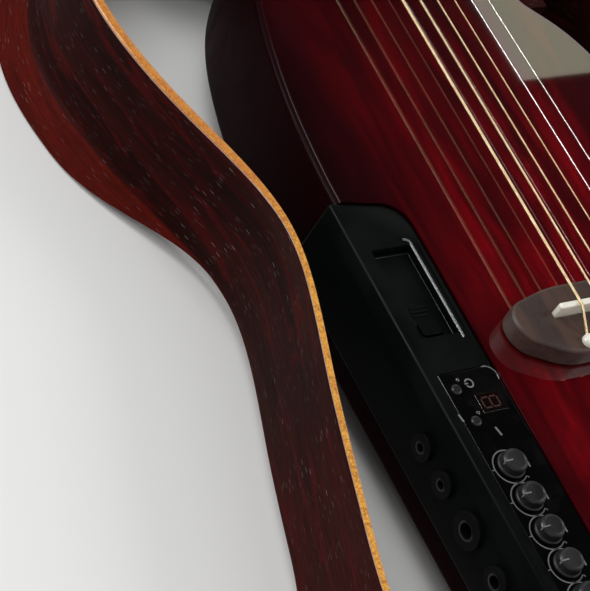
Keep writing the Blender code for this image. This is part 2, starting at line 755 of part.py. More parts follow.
def make_fingerboard():
    ebony = material("fingerboard_rosewood", (0.05, 0.025, 0.018), 0.5)
    low_half = board_half_width(BOARD_END_Y)
    high_half = NUT_WIDTH / 2
    board_low = NECK_TOP_Z + GAP
    board = prism(
        "fingerboard",
        (
            (-low_half, BOARD_END_Y),
            (low_half, BOARD_END_Y),
            (high_half, SCALE_LENGTH - GAP),
            (-high_half, SCALE_LENGTH - GAP),
        ),
        board_low,
        BOARD_TOP_Z,
        ebony,
    )

    def build(bm):
        for number in range(1, FRETS + 1):
            y = SCALE_LENGTH * 2 ** (-number / 12)
            half = board_half_width(y) - 0.4
            ring = []
            for across, up in ((-0.5, -0.5), (0.5, -0.5), (0.5, 0.35), (0.2, 1.0), (-0.2, 1.0), (-0.5, 0.35)):
                height = BOARD_TOP_Z + up * FRET_HEIGHT
                ring.append((y + across * FRET_WIDTH, height))
            ends = [[bm.verts.new((x * MM, y * MM, z * MM)) for y, z in ring] for x in (-half, half)]
            for k in range(6):
                after = (k + 1) % 6
                bm.faces.new((ends[0][k], ends[0][after], ends[1][after], ends[1][k]))
            bm.faces.new(ends[0])
            bm.faces.new(ends[1])

    frets = add_object("fret_wires", mesh_from("fret_wires", build), helper=True)
    fuse(board, frets)
    box(
        "nut",
        (-high_half, SCALE_LENGTH, board_low),
        (high_half, SCALE_LENGTH + NUT_LENGTH - GAP, NUT_TOP_Z),
        material("nut_bone", (0.8, 0.76, 0.66), 0.4),
    )


def tuner_places():
    """Each post on the head as (string, side, x, distance from the nut); strings 1 to 6 run treble to bass."""
    found = []
    for step in range(3):
        along = TUNER_FIRST + step * TUNER_PITCH
        found.append((6 - step, -1, -TUNER_X, along))
        found.append((1 + step, 1, TUNER_X, along))
    return sorted(found)


def make_tuners(neck, veneer, pivot):
    chrome = material("tuner_chrome", (0.78, 0.78, 0.8), 0.12, 1.0)
    button_skin = material("tuner_button_chrome", (0.8, 0.8, 0.82), 0.1, 1.0)
    back = -HEAD_THICKNESS - GAP
    gear_low = back - GEAR_HEIGHT
    worm_z = back - HOUSING_SIZE[2] / 2
    worm_y = POST_GEAR_RADIUS + WORM_RADIUS + GAP
    post_profile = (
        (POST_GEAR_RADIUS, gear_low),
        (POST_GEAR_RADIUS, back - 0.4),
        (POST_RADIUS, back - 0.4),
        (POST_RADIUS, POST_WIND_TOP - 7.0),
        (POST_WAIST_RADIUS, POST_WIND_TOP - 5.5),
        (POST_WAIST_RADIUS, POST_WIND_TOP),
        (POST_RADIUS, POST_WIND_TOP + 1.2),
        (POST_RADIUS, POST_HEIGHT - 0.6),
        (POST_RADIUS - 0.6, POST_HEIGHT),
    )
    for number, side, x, along in tuner_places():
        turned_post = turned(f"tuner_post_{number}", post_profile, 14, chrome)
        place(turned_post, (x, along, 0), parent=pivot)
        bore = ((POST_RADIUS + GAP, -HEAD_THICKNESS - 3.0), (POST_RADIUS + GAP, VENEER_THICKNESS + 3.0))
        hole = turned(f"post_hole_{number}", bore, 14, helper=True)
        place(hole, (x, along, 0), parent=pivot)
        cut(neck, hole)
        cut(veneer, hole)

        wide, long, tall = HOUSING_SIZE
        housing = box(
            f"tuner_housing_{number}",
            (x - wide / 2, along - long / 2 + 2.0, back - tall),
            (x + wide / 2, along + long / 2 + 2.0, back),
            chrome,
            bevel=1.2,
        )
        place(housing, (0, 0, 0), parent=pivot)
        gear_radius = POST_GEAR_RADIUS + GAP
        gear_bore = ((gear_radius, gear_low - GAP), (gear_radius, back + 2.0))
        gear_room = turned(f"gear_room_{number}", gear_bore, 14, helper=True)
        place(gear_room, (x, along, 0), parent=pivot)
        cut(housing, gear_room)
        worm_radius = WORM_RADIUS + GAP
        inner_end = -wide / 2 + 3.0
        worm_room = turned(
            f"worm_room_{number}", ((worm_radius, inner_end - GAP), (worm_radius, wide)), 12, helper=True
        )
        turn = ALONG_X if side > 0 else ALONG_MINUS_X
        place(worm_room, (x, along + worm_y, worm_z), turn, pivot)
        cut(housing, worm_room)
        make_key(number, side, (x, along + worm_y, worm_z), inner_end, button_skin, pivot)


def make_key(number, side, at, inner_end, skin, pivot):
    """The key: a worm shaft with an oval button that is slimmer towards its shaft."""
    shaft = (
        (WORM_RADIUS, inner_end),
        (WORM_RADIUS, KEY_REACH - 3.0),
        (WORM_RADIUS + 1.2, KEY_REACH - 1.5),
        (WORM_RADIUS + 1.2, KEY_REACH + 2.0),
    )
    key = turned(f"tuner_key_{number}", shaft, 12, skin)
    place(key, at, ALONG_X if side > 0 else ALONG_MINUS_X, pivot)

    def build(bm):
        steps = ((0.0, 0.45, 0.62), (0.3, 0.85, 0.95), (0.65, 1.0, 1.0), (0.9, 0.86, 0.8), (1.0, 0.6, 0.5))
        rings = []
        for share, tall, thick in steps:
            ring = []
            for k in range(12):
                angle = 2 * math.pi * k / 12
                x = KEY_BUTTON_HALF * tall * math.cos(angle)
                y = KEY_BUTTON_HALF * 0.42 * thick * math.sin(angle)
                z = KEY_REACH + share * KEY_BUTTON_LENGTH
                ring.append(bm.verts.new((x * MM, y * MM, z * MM)))
            rings.append(ring)
        for first, second in zip(rings, rings[1:]):
            for k in range(12):
                after = (k + 1) % 12
                bm.faces.new((first[k], first[after], second[after], second[k]))
        bm.faces.new(rings[0])
        bm.faces.new(rings[-1])

    button = add_object(f"key_button_{number}", mesh_from("key_button", build), helper=True)
    place(button, at, ALONG_X if side > 0 else ALONG_MINUS_X, pivot)
    fuse(key, button)


def string_x(number, y):
    """Strings 1 to 6 run from the treble side to the bass side."""
    share = (3.5 - number) / 5
    return share * (SADDLE_SPREAD + (NUT_SPREAD - SADDLE_SPREAD) * y / SCALE_LENGTH)


def make_strings(pivot):
    bronze = material("bronze_string", (0.72, 0.5, 0.3), 0.3, 1.0)
    steel = material("plain_string", (0.75, 0.74, 0.72), 0.25, 1.0)
    turn = Matrix.Rotation(math.radians(-HEAD_ANGLE), 4, "X")
    to_world = Matrix.Translation((0, HEAD_START_Y, NECK_TOP_Z)) @ turn
    back_along = to_world.inverted()
    least = 99.0
    for number, side, post_x, along in tuner_places():
        radius = STRING_RADII[6 - number]
        saddle_z = SADDLE_TOP_Z + GAP + radius
        nut_z = NUT_TOP_Z + GAP + radius
        at_saddle = string_x(number, 0.0)
        at_nut = string_x(number, SCALE_LENGTH)
        points = [
            Vector((at_saddle, -PIN_LINE, BRIDGE_TOP_Z + GAP + radius)),
            Vector((at_saddle, -SADDLE_THICKNESS / 2 - 0.6, saddle_z)),
            Vector((at_saddle, SADDLE_THICKNESS / 2, saddle_z)),
            Vector((at_nut, SCALE_LENGTH - 0.4, nut_z)),
            Vector((at_nut, SCALE_LENGTH + NUT_LENGTH, nut_z)),
        ]
        wind = POST_WAIST_RADIUS + GAP + 0.1 + radius
        pitch = 2 * radius + TURN_GAP
        top = POST_WIND_TOP - radius - GAP
        nut_point = back_along @ points[-1]
        reach = math.hypot(nut_point.x - post_x, nut_point.y - along)
        toward = math.atan2(nut_point.y - along, nut_point.x - post_x)
        start = toward - side * math.acos(wind / reach)
        count = int(STRING_TURNS * POINTS_A_TURN)
        coil = []
        for k in range(count + 1):
            turned_by = 2 * math.pi * k / POINTS_A_TURN
            angle = start - side * turned_by
            height = top - pitch * k / POINTS_A_TURN
            coil.append(Vector((post_x + wind * math.cos(angle), along + wind * math.sin(angle), height)))
        for k in range(POINTS_A_TURN - 2, count + 1):
            for other in coil[: k - POINTS_A_TURN + 3]:
                least = min(least, (coil[k] - other).length - 2 * radius)
        points += [to_world @ point for point in coil]
        tube(f"string_{number}", points, radius, bronze if number > 2 else steel)
    print(f"least gap between the turns of a string: {least:.2f} mm")


def make_bridge():
    wood = material("bridge_rosewood", (0.06, 0.03, 0.02), 0.5)
    low = TOP_Z + GAP
    half = BRIDGE_HALF_LENGTH
    outline = [
        (-half, -8.0),
        (-half * 0.62, -BRIDGE_BACK),
        (half * 0.62, -BRIDGE_BACK),
        (half, -8.0),
        (half, 8.0),
        (half * 0.55, BRIDGE_FRONT),
        (-half * 0.55, BRIDGE_FRONT),
        (-half, 8.0),
    ]
    bridge = prism("bridge", outline, low, BRIDGE_TOP_Z, wood, bevel=2.0)
    slot_floor = BRIDGE_TOP_Z - SLOT_DEPTH
    slot_half = SADDLE_THICKNESS / 2 + GAP
    slot = box(
        "saddle_slot",
        (-SADDLE_HALF_LENGTH - GAP, -slot_half, slot_floor),
        (SADDLE_HALF_LENGTH + GAP, slot_half, BRIDGE_TOP_Z + 8.0),
    )
    cut(bridge, slot)
    pickup_top = slot_floor + GAP + PICKUP_HEIGHT
    box(
        "saddle_pickup",
        (-SADDLE_HALF_LENGTH, -SADDLE_THICKNESS / 2, slot_floor + GAP),
        (SADDLE_HALF_LENGTH, SADDLE_THICKNESS / 2, pickup_top),
        material("pickup_strip", (0.5, 0.42, 0.25), 0.4, 1.0),
    )
    box(
        "saddle",
        (-SADDLE_HALF_LENGTH, -SADDLE_THICKNESS / 2, pickup_top + GAP),
        (SADDLE_HALF_LENGTH, SADDLE_THICKNESS / 2, SADDLE_TOP_Z),
        material("saddle_bone", (0.8, 0.76, 0.66), 0.4),
    )


def make_housing():
    plastic = material("housing_black", (0.012, 0.014, 0.014), 0.45)
    housing = prism("control_housing", housing_outline(), HOUSING_LOW_Z, HOUSING_TOP_Z, plastic, bevel=1.2)

    half_door = DOOR_WIDTH / 2
    door_tail_y = DOOR_NECK_Y - DOOR_LENGTH
    door_low_z = DOOR_TOP_Z - DOOR_THICKNESS
    pocket = box(
        "door_pocket",
        (DOOR_CENTRE_X - half_door - GAP, door_tail_y - GAP, door_low_z - GAP),
        (DOOR_CENTRE_X + half_door + GAP, DOOR_NECK_Y + HINGE_GAP, HOUSING_TOP_Z + 5.0),
    )
    cut(housing, pocket)
    relief = box(
        "hinge_relief",
        (DOOR_CENTRE_X - half_door - GAP, DOOR_NECK_Y - 2 * HINGE_INSET - GAP, door_low_z - HINGE_RELIEF),
        (DOOR_CENTRE_X + half_door + GAP, DOOR_NECK_Y + HINGE_GAP, HOUSING_TOP_Z + 4.0),
    )
    cut(housing, relief)
    bay_half = BATTERY_RADIUS + 2 * GAP
    bay_low_y = DOOR_NECK_Y - DOOR_LENGTH / 2 - BATTERY_LENGTH / 2 - BAY_SLACK
    bay_high_y = bay_low_y + BATTERY_LENGTH + BATTERY_NUB + 2 * BAY_SLACK + CONTACT_THICKNESS
    floor_z = HOUSING_LOW_Z + HOUSING_WALL
    bay = box(
        "battery_bay",
        (DOOR_CENTRE_X - bay_half, bay_low_y, floor_z),
        (DOOR_CENTRE_X + bay_half, bay_high_y, door_low_z - BAY_ROOF),
    )
    cut(housing, bay)
    mouth = box(
        "bay_mouth",
        (DOOR_CENTRE_X - bay_half + 0.2, door_tail_y + 1.0, floor_z + 4.0),
        (DOOR_CENTRE_X + bay_half - 0.2, DOOR_NECK_Y - 1.5, door_low_z + 1.0),
    )
    cut(housing, mouth)

    door = box(
        "battery_door",
        (-half_door, HINGE_INSET - DOOR_LENGTH, -DOOR_THICKNESS / 2),
        (half_door, HINGE_INSET, DOOR_THICKNESS / 2),
        material("door_black", (0.014, 0.015, 0.015), 0.5),
        bevel=0.3,
    )
    hinge_at = (DOOR_CENTRE_X, DOOR_NECK_Y - HINGE_INSET, DOOR_TOP_Z - DOOR_THICKNESS / 2)
    place(door, hinge_at)
    door_end = HINGE_INSET - DOOR_LENGTH
    notch = box("door_notch", (-5.0, door_end - 5.0, -5.0), (5.0, door_end + 3.0, 5.0))
    place(notch, hinge_at)
    cut(door, notch)

    cell_skin = material("battery_wrap", (0.5, 0.42, 0.12), 0.35, 0.3)
    nub_radius = BATTERY_RADIUS * 0.38
    cell = (
        (BATTERY_RADIUS, 0.0),
        (BATTERY_RADIUS, BATTERY_LENGTH),
        (nub_radius, BATTERY_LENGTH),
        (nub_radius, BATTERY_LENGTH + BATTERY_NUB),
    )
    for number, side in ((2, 1), (1, -1)):
        low_z = floor_z + GAP if number == 2 else floor_z + 2 * GAP + 2 * BATTERY_RADIUS
        from_y = bay_low_y + GAP + 0.2
        turn = Matrix.Rotation(math.radians(-90), 3, "X")
        if side < 0:
            from_y += BATTERY_LENGTH + BATTERY_NUB
            turn = ALONG_MINUS_Y
        battery = turned(f"battery_{number}", cell, 18, cell_skin)
        place(battery, (DOOR_CENTRE_X, from_y, low_z + BATTERY_RADIUS), turn)
    box(
        "battery_contact",
        (DOOR_CENTRE_X - 5.0, bay_high_y - CONTACT_THICKNESS - GAP, floor_z + GAP),
        (DOOR_CENTRE_X + 5.0, bay_high_y - GAP, door_low_z - 3.0),
        material("contact_steel", (0.6, 0.6, 0.6), 0.3, 1.0),
    )
    return housing, plastic


def knob_places():
    return [(name, KNOB_FIRST_Y - k * KNOB_PITCH) for k, name in enumerate(KNOB_NAMES)]


def panel_outline(grow=0.0):
    """The control panel seen from the front, with its inner neck corner rounded like the housing's."""
    inner = PANEL_CENTRE_X + PANEL_WIDTH / 2 + grow
    outer = PANEL_CENTRE_X - PANEL_WIDTH / 2 - grow
    neck = PANEL_NECK_Y + grow
    tail = PANEL_TAIL_Y - grow
    corner = quarter((inner - PANEL_CORNER, neck - PANEL_CORNER), PANEL_CORNER, 0)
    return [(outer, tail), (inner, tail), *corner, (outer, neck)]


def make_controls(housing, plastic):
    half = PANEL_WIDTH / 2
    panel_low_z = HOUSING_TOP_Z - PANEL_THICKNESS
    cut(housing, prism("panel_seat", panel_outline(GAP), panel_low_z - GAP, HOUSING_TOP_Z + 5.0))
    floor_z = HOUSING_LOW_Z + HOUSING_WALL
    room_half = half - PANEL_LEDGE
    room = box(
        "electronics_room",
        (PANEL_CENTRE_X - room_half, PANEL_TAIL_Y + PANEL_LEDGE, floor_z),
        (PANEL_CENTRE_X + room_half, PANEL_NECK_Y - PANEL_LEDGE, HOUSING_TOP_Z + 4.0),
    )
    cut(housing, room)

    panel_skin = material("panel_gloss", (0.006, 0.006, 0.007), 0.08)
    panel = prism("control_panel", panel_outline(), panel_low_z, HOUSING_TOP_Z, panel_skin, bevel=0.3, steps=1)
    pcb = box(
        "circuit_board",
        (PANEL_CENTRE_X - room_half + GAP, PANEL_TAIL_Y + PANEL_LEDGE + GAP, PCB_TOP_Z - PCB_THICKNESS),
        (PANEL_CENTRE_X + room_half - GAP, PANEL_NECK_Y - PANEL_LEDGE - GAP, PCB_TOP_Z),
        material("board_green", (0.02, 0.12, 0.05), 0.4),
    )

    knob_skin = material("knob_black", (0.01, 0.01, 0.011), 0.35)
    pot_top = PCB_TOP_Z + POT_HEIGHT
    for name, y in knob_places():
        pot = box(
            f"{name}_pot",
            (KNOB_X - POT_HALF, y - POT_HALF, PCB_TOP_Z - 0.5),
            (KNOB_X + POT_HALF, y + POT_HALF, pot_top),
            helper=True,
        )
        fuse(pcb, pot)
        under = HOUSING_TOP_Z + 2 * GAP
        profile = (
            (KNOB_SHAFT_RADIUS, pot_top + GAP),
            (KNOB_SHAFT_RADIUS, under),
            (KNOB_RADIUS, under),
            (KNOB_RADIUS, under + 1.2),
            (KNOB_RADIUS * 0.86, under + KNOB_HEIGHT - 0.8),
            (KNOB_RADIUS * 0.76, under + KNOB_HEIGHT),
        )
        place(turned(name, profile, 20, knob_skin), (KNOB_X, y, 0))
        bore = ((KNOB_SHAFT_RADIUS + GAP, panel_low_z - 5.0), (KNOB_SHAFT_RADIUS + GAP, HOUSING_TOP_Z + 5.0))
        cut(panel, place(turned(f"{name}_hole", bore, 16, helper=True), (KNOB_X, y, 0)))

    for name, at in (("power_button", POWER_BUTTON_AT), ("tuner_button", TUNER_BUTTON_AT)):
        switch_top = PCB_TOP_Z + POT_HEIGHT
        switch = box(
            f"{name}_switch",
            (at[0] - SWITCH_HALF, at[1] - SWITCH_HALF, PCB_TOP_Z - 0.5),
            (at[0] + SWITCH_HALF, at[1] + SWITCH_HALF, switch_top),
            helper=True,
        )
        fuse(pcb, switch)
        rise = HOUSING_TOP_Z + BUTTON_RISE
        profile = (
            (BUTTON_RADIUS, switch_top + BUTTON_TRAVEL + 0.15),
            (BUTTON_RADIUS, rise - 0.5),
            (BUTTON_RADIUS - 0.7, rise),
        )
        place(turned(name, profile, 16, plastic), (at[0], at[1], 0))
        bore = ((BUTTON_RADIUS + GAP, panel_low_z - 5.0), (BUTTON_RADIUS + GAP, HOUSING_TOP_Z + 5.0))
        cut(panel, place(turned(f"{name}_hole", bore, 16, helper=True), (at[0], at[1], 0)))

    half_x, half_y = DISPLAY_SIZE[0] / 2, DISPLAY_SIZE[1] / 2
    box(
        "tuner_display",
        (DISPLAY_AT[0] - half_x, DISPLAY_AT[1] - half_y, PCB_TOP_Z + GAP),
        (DISPLAY_AT[0] + half_x, DISPLAY_AT[1] + half_y, HOUSING_TOP_Z - 0.2),
        material("display_red", (0.03, 0.004, 0.004), 0.1),
    )
    window = box(
        "display_window",
        (DISPLAY_AT[0] - half_x - GAP, DISPLAY_AT[1] - half_y - GAP, panel_low_z - 5.0),
        (DISPLAY_AT[0] + half_x + GAP, DISPLAY_AT[1] + half_y + GAP, HOUSING_TOP_Z + 5.0),
    )
    cut(panel, window)

    jack_skin = material("jack_black", (0.02, 0.02, 0.022), 0.3)
    jack_z = HOUSING_TOP_Z - JACK_DEPTH
    for name, y, outer, bore_radius in JACKS:
        profile = (
            (outer, -JACK_LENGTH),
            (outer, GAP),
            (outer + 1.6, GAP),
            (outer + 1.6, GAP + JACK_FLANGE),
            (bore_radius, GAP + JACK_FLANGE),
            (bore_radius, 3.0 - JACK_LENGTH),
        )
        at = (HOUSING_OUTER_X, y, jack_z)
        place(turned(name, profile, 20, jack_skin), at, ALONG_MINUS_X)
        hole = turned(f"{name}_hole", ((outer + GAP, -10.0), (outer + GAP, 5.0)), 20, helper=True)
        cut(housing, place(hole, at, ALONG_MINUS_X))


def main():
    for old in list(bpy.data.objects):
        bpy.data.objects.remove(old)
    core, horn_x = make_core()
    make_frames(core, horn_x)
    neck, veneer, pivot = make_neck()
    make_fingerboard()
    make_tuners(neck, veneer, pivot)
    make_strings(pivot)
    make_bridge()
    housing, plastic = make_housing()
    make_controls(housing, plastic)


main()
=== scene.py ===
import json
import math

import bmesh
import bpy
import numpy as np
from mathutils import Matrix, Vector


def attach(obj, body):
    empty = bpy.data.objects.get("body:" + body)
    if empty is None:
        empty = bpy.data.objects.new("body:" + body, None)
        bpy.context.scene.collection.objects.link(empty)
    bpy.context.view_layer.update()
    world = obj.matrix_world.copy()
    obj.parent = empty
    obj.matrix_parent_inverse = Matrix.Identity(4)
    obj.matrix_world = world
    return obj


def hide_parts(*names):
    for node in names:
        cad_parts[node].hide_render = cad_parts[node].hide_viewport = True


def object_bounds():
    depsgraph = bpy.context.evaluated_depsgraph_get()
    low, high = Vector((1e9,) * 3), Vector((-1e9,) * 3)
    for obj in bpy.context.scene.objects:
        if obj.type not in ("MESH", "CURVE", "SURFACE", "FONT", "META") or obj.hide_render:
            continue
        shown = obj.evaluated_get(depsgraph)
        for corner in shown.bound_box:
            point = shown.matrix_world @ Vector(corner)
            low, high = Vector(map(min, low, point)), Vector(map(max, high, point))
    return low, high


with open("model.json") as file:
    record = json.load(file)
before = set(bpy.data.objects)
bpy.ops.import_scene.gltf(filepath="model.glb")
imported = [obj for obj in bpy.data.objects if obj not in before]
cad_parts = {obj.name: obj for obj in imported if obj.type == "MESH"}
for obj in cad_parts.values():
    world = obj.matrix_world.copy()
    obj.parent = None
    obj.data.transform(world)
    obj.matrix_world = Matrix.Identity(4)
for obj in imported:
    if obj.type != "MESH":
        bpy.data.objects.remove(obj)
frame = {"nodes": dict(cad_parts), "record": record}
cadLow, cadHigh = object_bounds()
mm = 0.001

# which body carries each node
carrier = {node: body for body, nodes in frame["record"]["behaviour"]["bodies"].items() for node in nodes}


def deselectAll():
    bpy.ops.object.select_all(action="DESELECT")


def activate(piece):
    deselectAll()
    piece.select_set(True)
    bpy.context.view_layer.objects.active = piece


def newObject(name, data):
    piece = bpy.data.objects.new(name, data)
    bpy.context.scene.collection.objects.link(piece)
    return piece


def discard(*pieces):
    for piece in pieces:
        bpy.data.objects.remove(piece)


def applyAll(piece):
    activate(piece)
    for step in list(piece.modifiers):
        bpy.ops.object.modifier_apply(modifier=step.name)


# puts place, turn and size into the mesh
def settle(piece):
    activate(piece)
    bpy.ops.object.transform_apply(location=True, rotation=True, scale=True)


# each step works on the whole mesh
def editMesh(piece, *steps):
    activate(piece)
    bpy.ops.object.mode_set(mode="EDIT")
    for step in steps:
        bpy.ops.mesh.select_all(action="SELECT")
        step()
    bpy.ops.object.mode_set(mode="OBJECT")


def smoothUp(piece, angle=32):
    activate(piece)
    bpy.ops.object.shade_smooth_by_angle(angle=math.radians(angle))


def roundEdges(piece, width, segments=2, angle=32):
    step = piece.modifiers.new("round", "BEVEL")
    step.width = width * mm
    step.segments = segments
    step.limit_method = "ANGLE"
    step.angle_limit = math.radians(angle)
    applyAll(piece)


# flat faces stay flat beside their rounded edges
def evenShading(piece, angle=32):
    smoothUp(piece, angle)
    step = piece.modifiers.new("even", "WEIGHTED_NORMAL")
    step.keep_sharp = True
    step.weight = 100
    applyAll(piece)


def paint(piece, *names):
    while piece.data.materials:
        piece.data.materials.pop()
    for name in names:
        piece.data.materials.append(skins[name])


# the piece rides with the node's body and may stand for the node
def fit(piece, node, stands):
    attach(piece, carrier[node])
    if stands:
        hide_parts(node)
    return piece


def finishPiece(piece, skin, node, stands=False, angle=32):
    evenShading(piece, angle)
    paint(piece, skin)
    return fit(piece, node, stands)


# a merged copy of a CAD node with softened edges
def copyOfNode(node, skin, rounding=0.0, segments=2, angle=32):
    piece = newObject("dressed_" + node, frame["nodes"][node].data.copy())
    editMesh(piece, lambda: bpy.ops.mesh.remove_doubles(threshold=0.000002),
             lambda: bpy.ops.mesh.dissolve_limited(angle_limit=math.radians(0.6)))
    if rounding:
        roundEdges(piece, rounding, segments, angle)
    return finishPiece(piece, skin, node, True, angle)


# Nodes of a material are placed and joined with these

# both links and constants go into a node's inputs
def feed(node, inputs):
    for key, value in inputs.items():
        if isinstance(value, bpy.types.NodeSocket):
            node.id_data.links.new(value, node.inputs[key])
        else:
            node.inputs[key].default_value = value


def startSkin(name, roughness=0.5, metallic=0.0, coat=0.0, coatRoughness=0.03, specular=0.5):
    skin = bpy.data.materials.new(name)
    skin.use_nodes = True
    shader = skin.node_tree.nodes["Principled BSDF"]
    feed(shader, {"Roughness": roughness, "Metallic": metallic, "Coat Weight": coat,
                  "Coat Roughness": coatRoughness, "Specular IOR Level": specular})
    return skin, shader


# a node joins the tree that its inputs come from
def put(kind, inputs, **settings):
    tree = next(value.id_data for value in inputs.values() if isinstance(value, bpy.types.NodeSocket))
    node = tree.nodes.new(kind)
    for key, value in settings.items():
        setattr(node, key, value)
    feed(node, inputs)
    return node


def inPlace(shader):
    return shader.id_data.nodes.new("ShaderNodeTexCoord").outputs["Object"]


def alongUv(shader):
    node = shader.id_data.nodes.new("ShaderNodeUVMap")
    node.uv_map = "band"
    return node.outputs["UV"]


def axes(vector):
    return put("ShaderNodeSeparateXYZ", {"Vector": vector}).outputs


def scaled(vector, scale, turn=(0, 0, 0)):
    return put("ShaderNodeMapping", {"Vector": vector, "Scale": scale, "Rotation": turn}).outputs[0]


def noise(vector, scale, detail, roughness=0.5, distortion=0.0):
    return put("ShaderNodeTexNoise", {
        "Vector": vector, "Scale": scale, "Detail": detail, "Roughness": roughness, "Distortion": distortion,
    }).outputs["Fac"]


def spread(value, low, high, toLow=0.0, toHigh=1.0):
    return put("ShaderNodeMapRange", {
        "Value": value, "From Min": low, "From Max": high, "To Min": toLow, "To Max": toHigh,
    }, interpolation_type="SMOOTHSTEP").outputs["Result"]


# a mask turned into values between two limits
def between(mask, low, high):
    return spread(mask, 0.0, 1.0, low, high)


def maths(operation, first, second=0.0):
    return put("ShaderNodeMath", {0: first, 1: second}, operation=operation).outputs[0]


def times(first, second):
    return maths("MULTIPLY", first, second)


def blendColour(share, *colours):
    first, second = [(*colour, 1.0) if isinstance(colour, tuple) else colour for colour in colours]
    return put("ShaderNodeMix", {0: share, 6: first, 7: second}, data_type="RGBA").outputs[2]


# a colour laid over another where the mask says so
def layer(under, mask, strength, colour):
    return blendColour(times(mask, strength), under, colour)


# a colour that drifts slowly between two tones
def drift(vector, scale, detail, first, second, low=0.3, high=0.7):
    return blendColour(spread(noise(vector, scale, detail), low, high), first, second)


def bump(shader, height, strength, distance):
    made = put("ShaderNodeBump", {"Height": height, "Strength": strength, "Distance": distance})
    feed(shader, {"Normal": made.outputs[0]})


# a shared effect: a vector and some numbers go in, masks come out
def startGroup(name, numbers, outputs):
    group = bpy.data.node_groups.new(name, "ShaderNodeTree")
    group.interface.new_socket(name="Vector", in_out="INPUT", socket_type="NodeSocketVector")
    for label, value in numbers.items():
        group.interface.new_socket(name=label, in_out="INPUT", socket_type="NodeSocketFloat").default_value = value
    for label in outputs:
        group.interface.new_socket(name=label, in_out="OUTPUT", socket_type="NodeSocketFloat")
    return group, group.nodes.new("NodeGroupInput").outputs, group.nodes.new("NodeGroupOutput")


def useGroup(group, **inputs):
    return put("ShaderNodeGroup", inputs, node_tree=group).outputs


# long streaks and fine fibres; the vector comes in with the grain stretched already
def makeGrainGroup():
    group, given, out = startGroup("wood grain", {"Waviness": 0.6}, ("Streaks", "Fibres"))
    wide = noise(given["Vector"], 1.0, 4.0, 0.6, given["Waviness"])
    fine = noise(given["Vector"], 7.0, 5.0, 0.7)
    feed(out, {"Streaks": spread(wide, 0.36, 0.66), "Fibres": spread(fine, 0.3, 0.7)})
    return group


# short dashes scattered along the grain: one in some cells of a stretched pattern
def makePoreGroup():
    group, given, out = startGroup("wood pores", {"Size": 0.13, "Share": 0.4}, ("Pores",))
    cells = put("ShaderNodeTexVoronoi", {"Vector": given["Vector"], "Scale": 1.0, "Randomness": 1.0},
                voronoi_dimensions="2D").outputs
    picked = put("ShaderNodeSeparateColor", {"Color": cells["Color"]}).outputs
    inside = spread(maths("SUBTRACT", given["Size"], cells["Distance"]), 0.0, 0.025)
    chosen = maths("LESS_THAN", picked[0], given["Share"])
    feed(out, {"Pores": times(times(inside, chosen), between(picked[1], 0.3, 1.0))})
    return group


# the fine even texture of moulded plastic, with slow changes of sheen from handling
def makeMouldedGroup():
    group, given, out = startGroup("moulded texture", {"Scale": 3500.0}, ("Height", "Sheen"))
    feed(out, {"Height": noise(given["Vector"], given["Scale"], 2.0),
               "Sheen": spread(noise(given["Vector"], 35.0, 3.0), 0.35, 0.65)})
    return group


# faint smears and fine scratches on gloss and metal
def makeHandlingGroup():
    group, given, out = startGroup("handling marks", {}, ("Smears", "Scratches"))
    lines = noise(scaled(given["Vector"], (2600.0, 90.0, 2600.0), (0.2, 0.1, 0.5)), 1.0, 2.0)
    feed(out, {"Smears": spread(noise(given["Vector"], 60.0, 4.0, 0.6, 0.4), 0.45, 0.7),
               "Scratches": spread(lines, 0.66, 0.72)})
    return group


grainGroup = makeGrainGroup()
poreGroup = makePoreGroup()
mouldedGroup = makeMouldedGroup()
handlingGroup = makeHandlingGroup()


def grained(vector, waviness):
    return useGroup(grainGroup, Vector=vector, Waviness=waviness)


# see-through crimson over mahogany, darker towards the rim and on the sides, under deep gloss; painted shade darkens
# it towards the neck and a painted lighter red lights it towards the tail
def crimsonGloss():
    skin, shader = startSkin("crimson gloss", coat=1.0, coatRoughness=0.02, specular=0.02)
    where = inPlace(shader)
    across, along, height = axes(where)
    grain = grained(scaled(where, (95.0, 9.0, 60.0)), 0.9)
    figure = grained(scaled(where, (30.0, 11.0, 30.0), (0, 0, 0.5)), 1.6)["Streaks"]
    rim = spread(maths("ADD", maths("ABSOLUTE", across), times(figure, -0.012)), 0.022, 0.092)
    flank = spread(height, 0.05795, 0.0571)
    deep = blendColour(grain["Streaks"], (0.056, 0.0003, 0.0018), (0.17, 0.0006, 0.0036))
    # painted light: a lighter red for the lower body towards the tail, where light falls more strongly
    paintedLitRed = blendColour(grain["Streaks"], (0.105, 0.0004, 0.0025), (0.235, 0.0008, 0.0045))
    colour = blendColour(spread(along, 0.075, 0.0), deep, paintedLitRed)
    colour = layer(colour, figure, 0.65, (0.026, 0.0003, 0.0018))
    colour = layer(colour, grain["Fibres"], 0.3, (0.018, 0.0005, 0.0015))
    # the burst darkens the rim; painted shade darkens the middle towards the neck
    burstAndShade = maths("MAXIMUM", rim, times(spread(along, 0.06, 0.22), 0.75))
    colour = blendColour(maths("MAXIMUM", burstAndShade, flank), colour, (0.0085, 0.0003, 0.0012))
    smears = useGroup(handlingGroup, Vector=where)["Smears"]
    feed(shader, {"Base Color": colour, "Coat Weight": between(flank, 1.0, 0.0), "Coat IOR": 2.1,
                  "Roughness": between(smears, 0.34, 0.44)})
    return skin
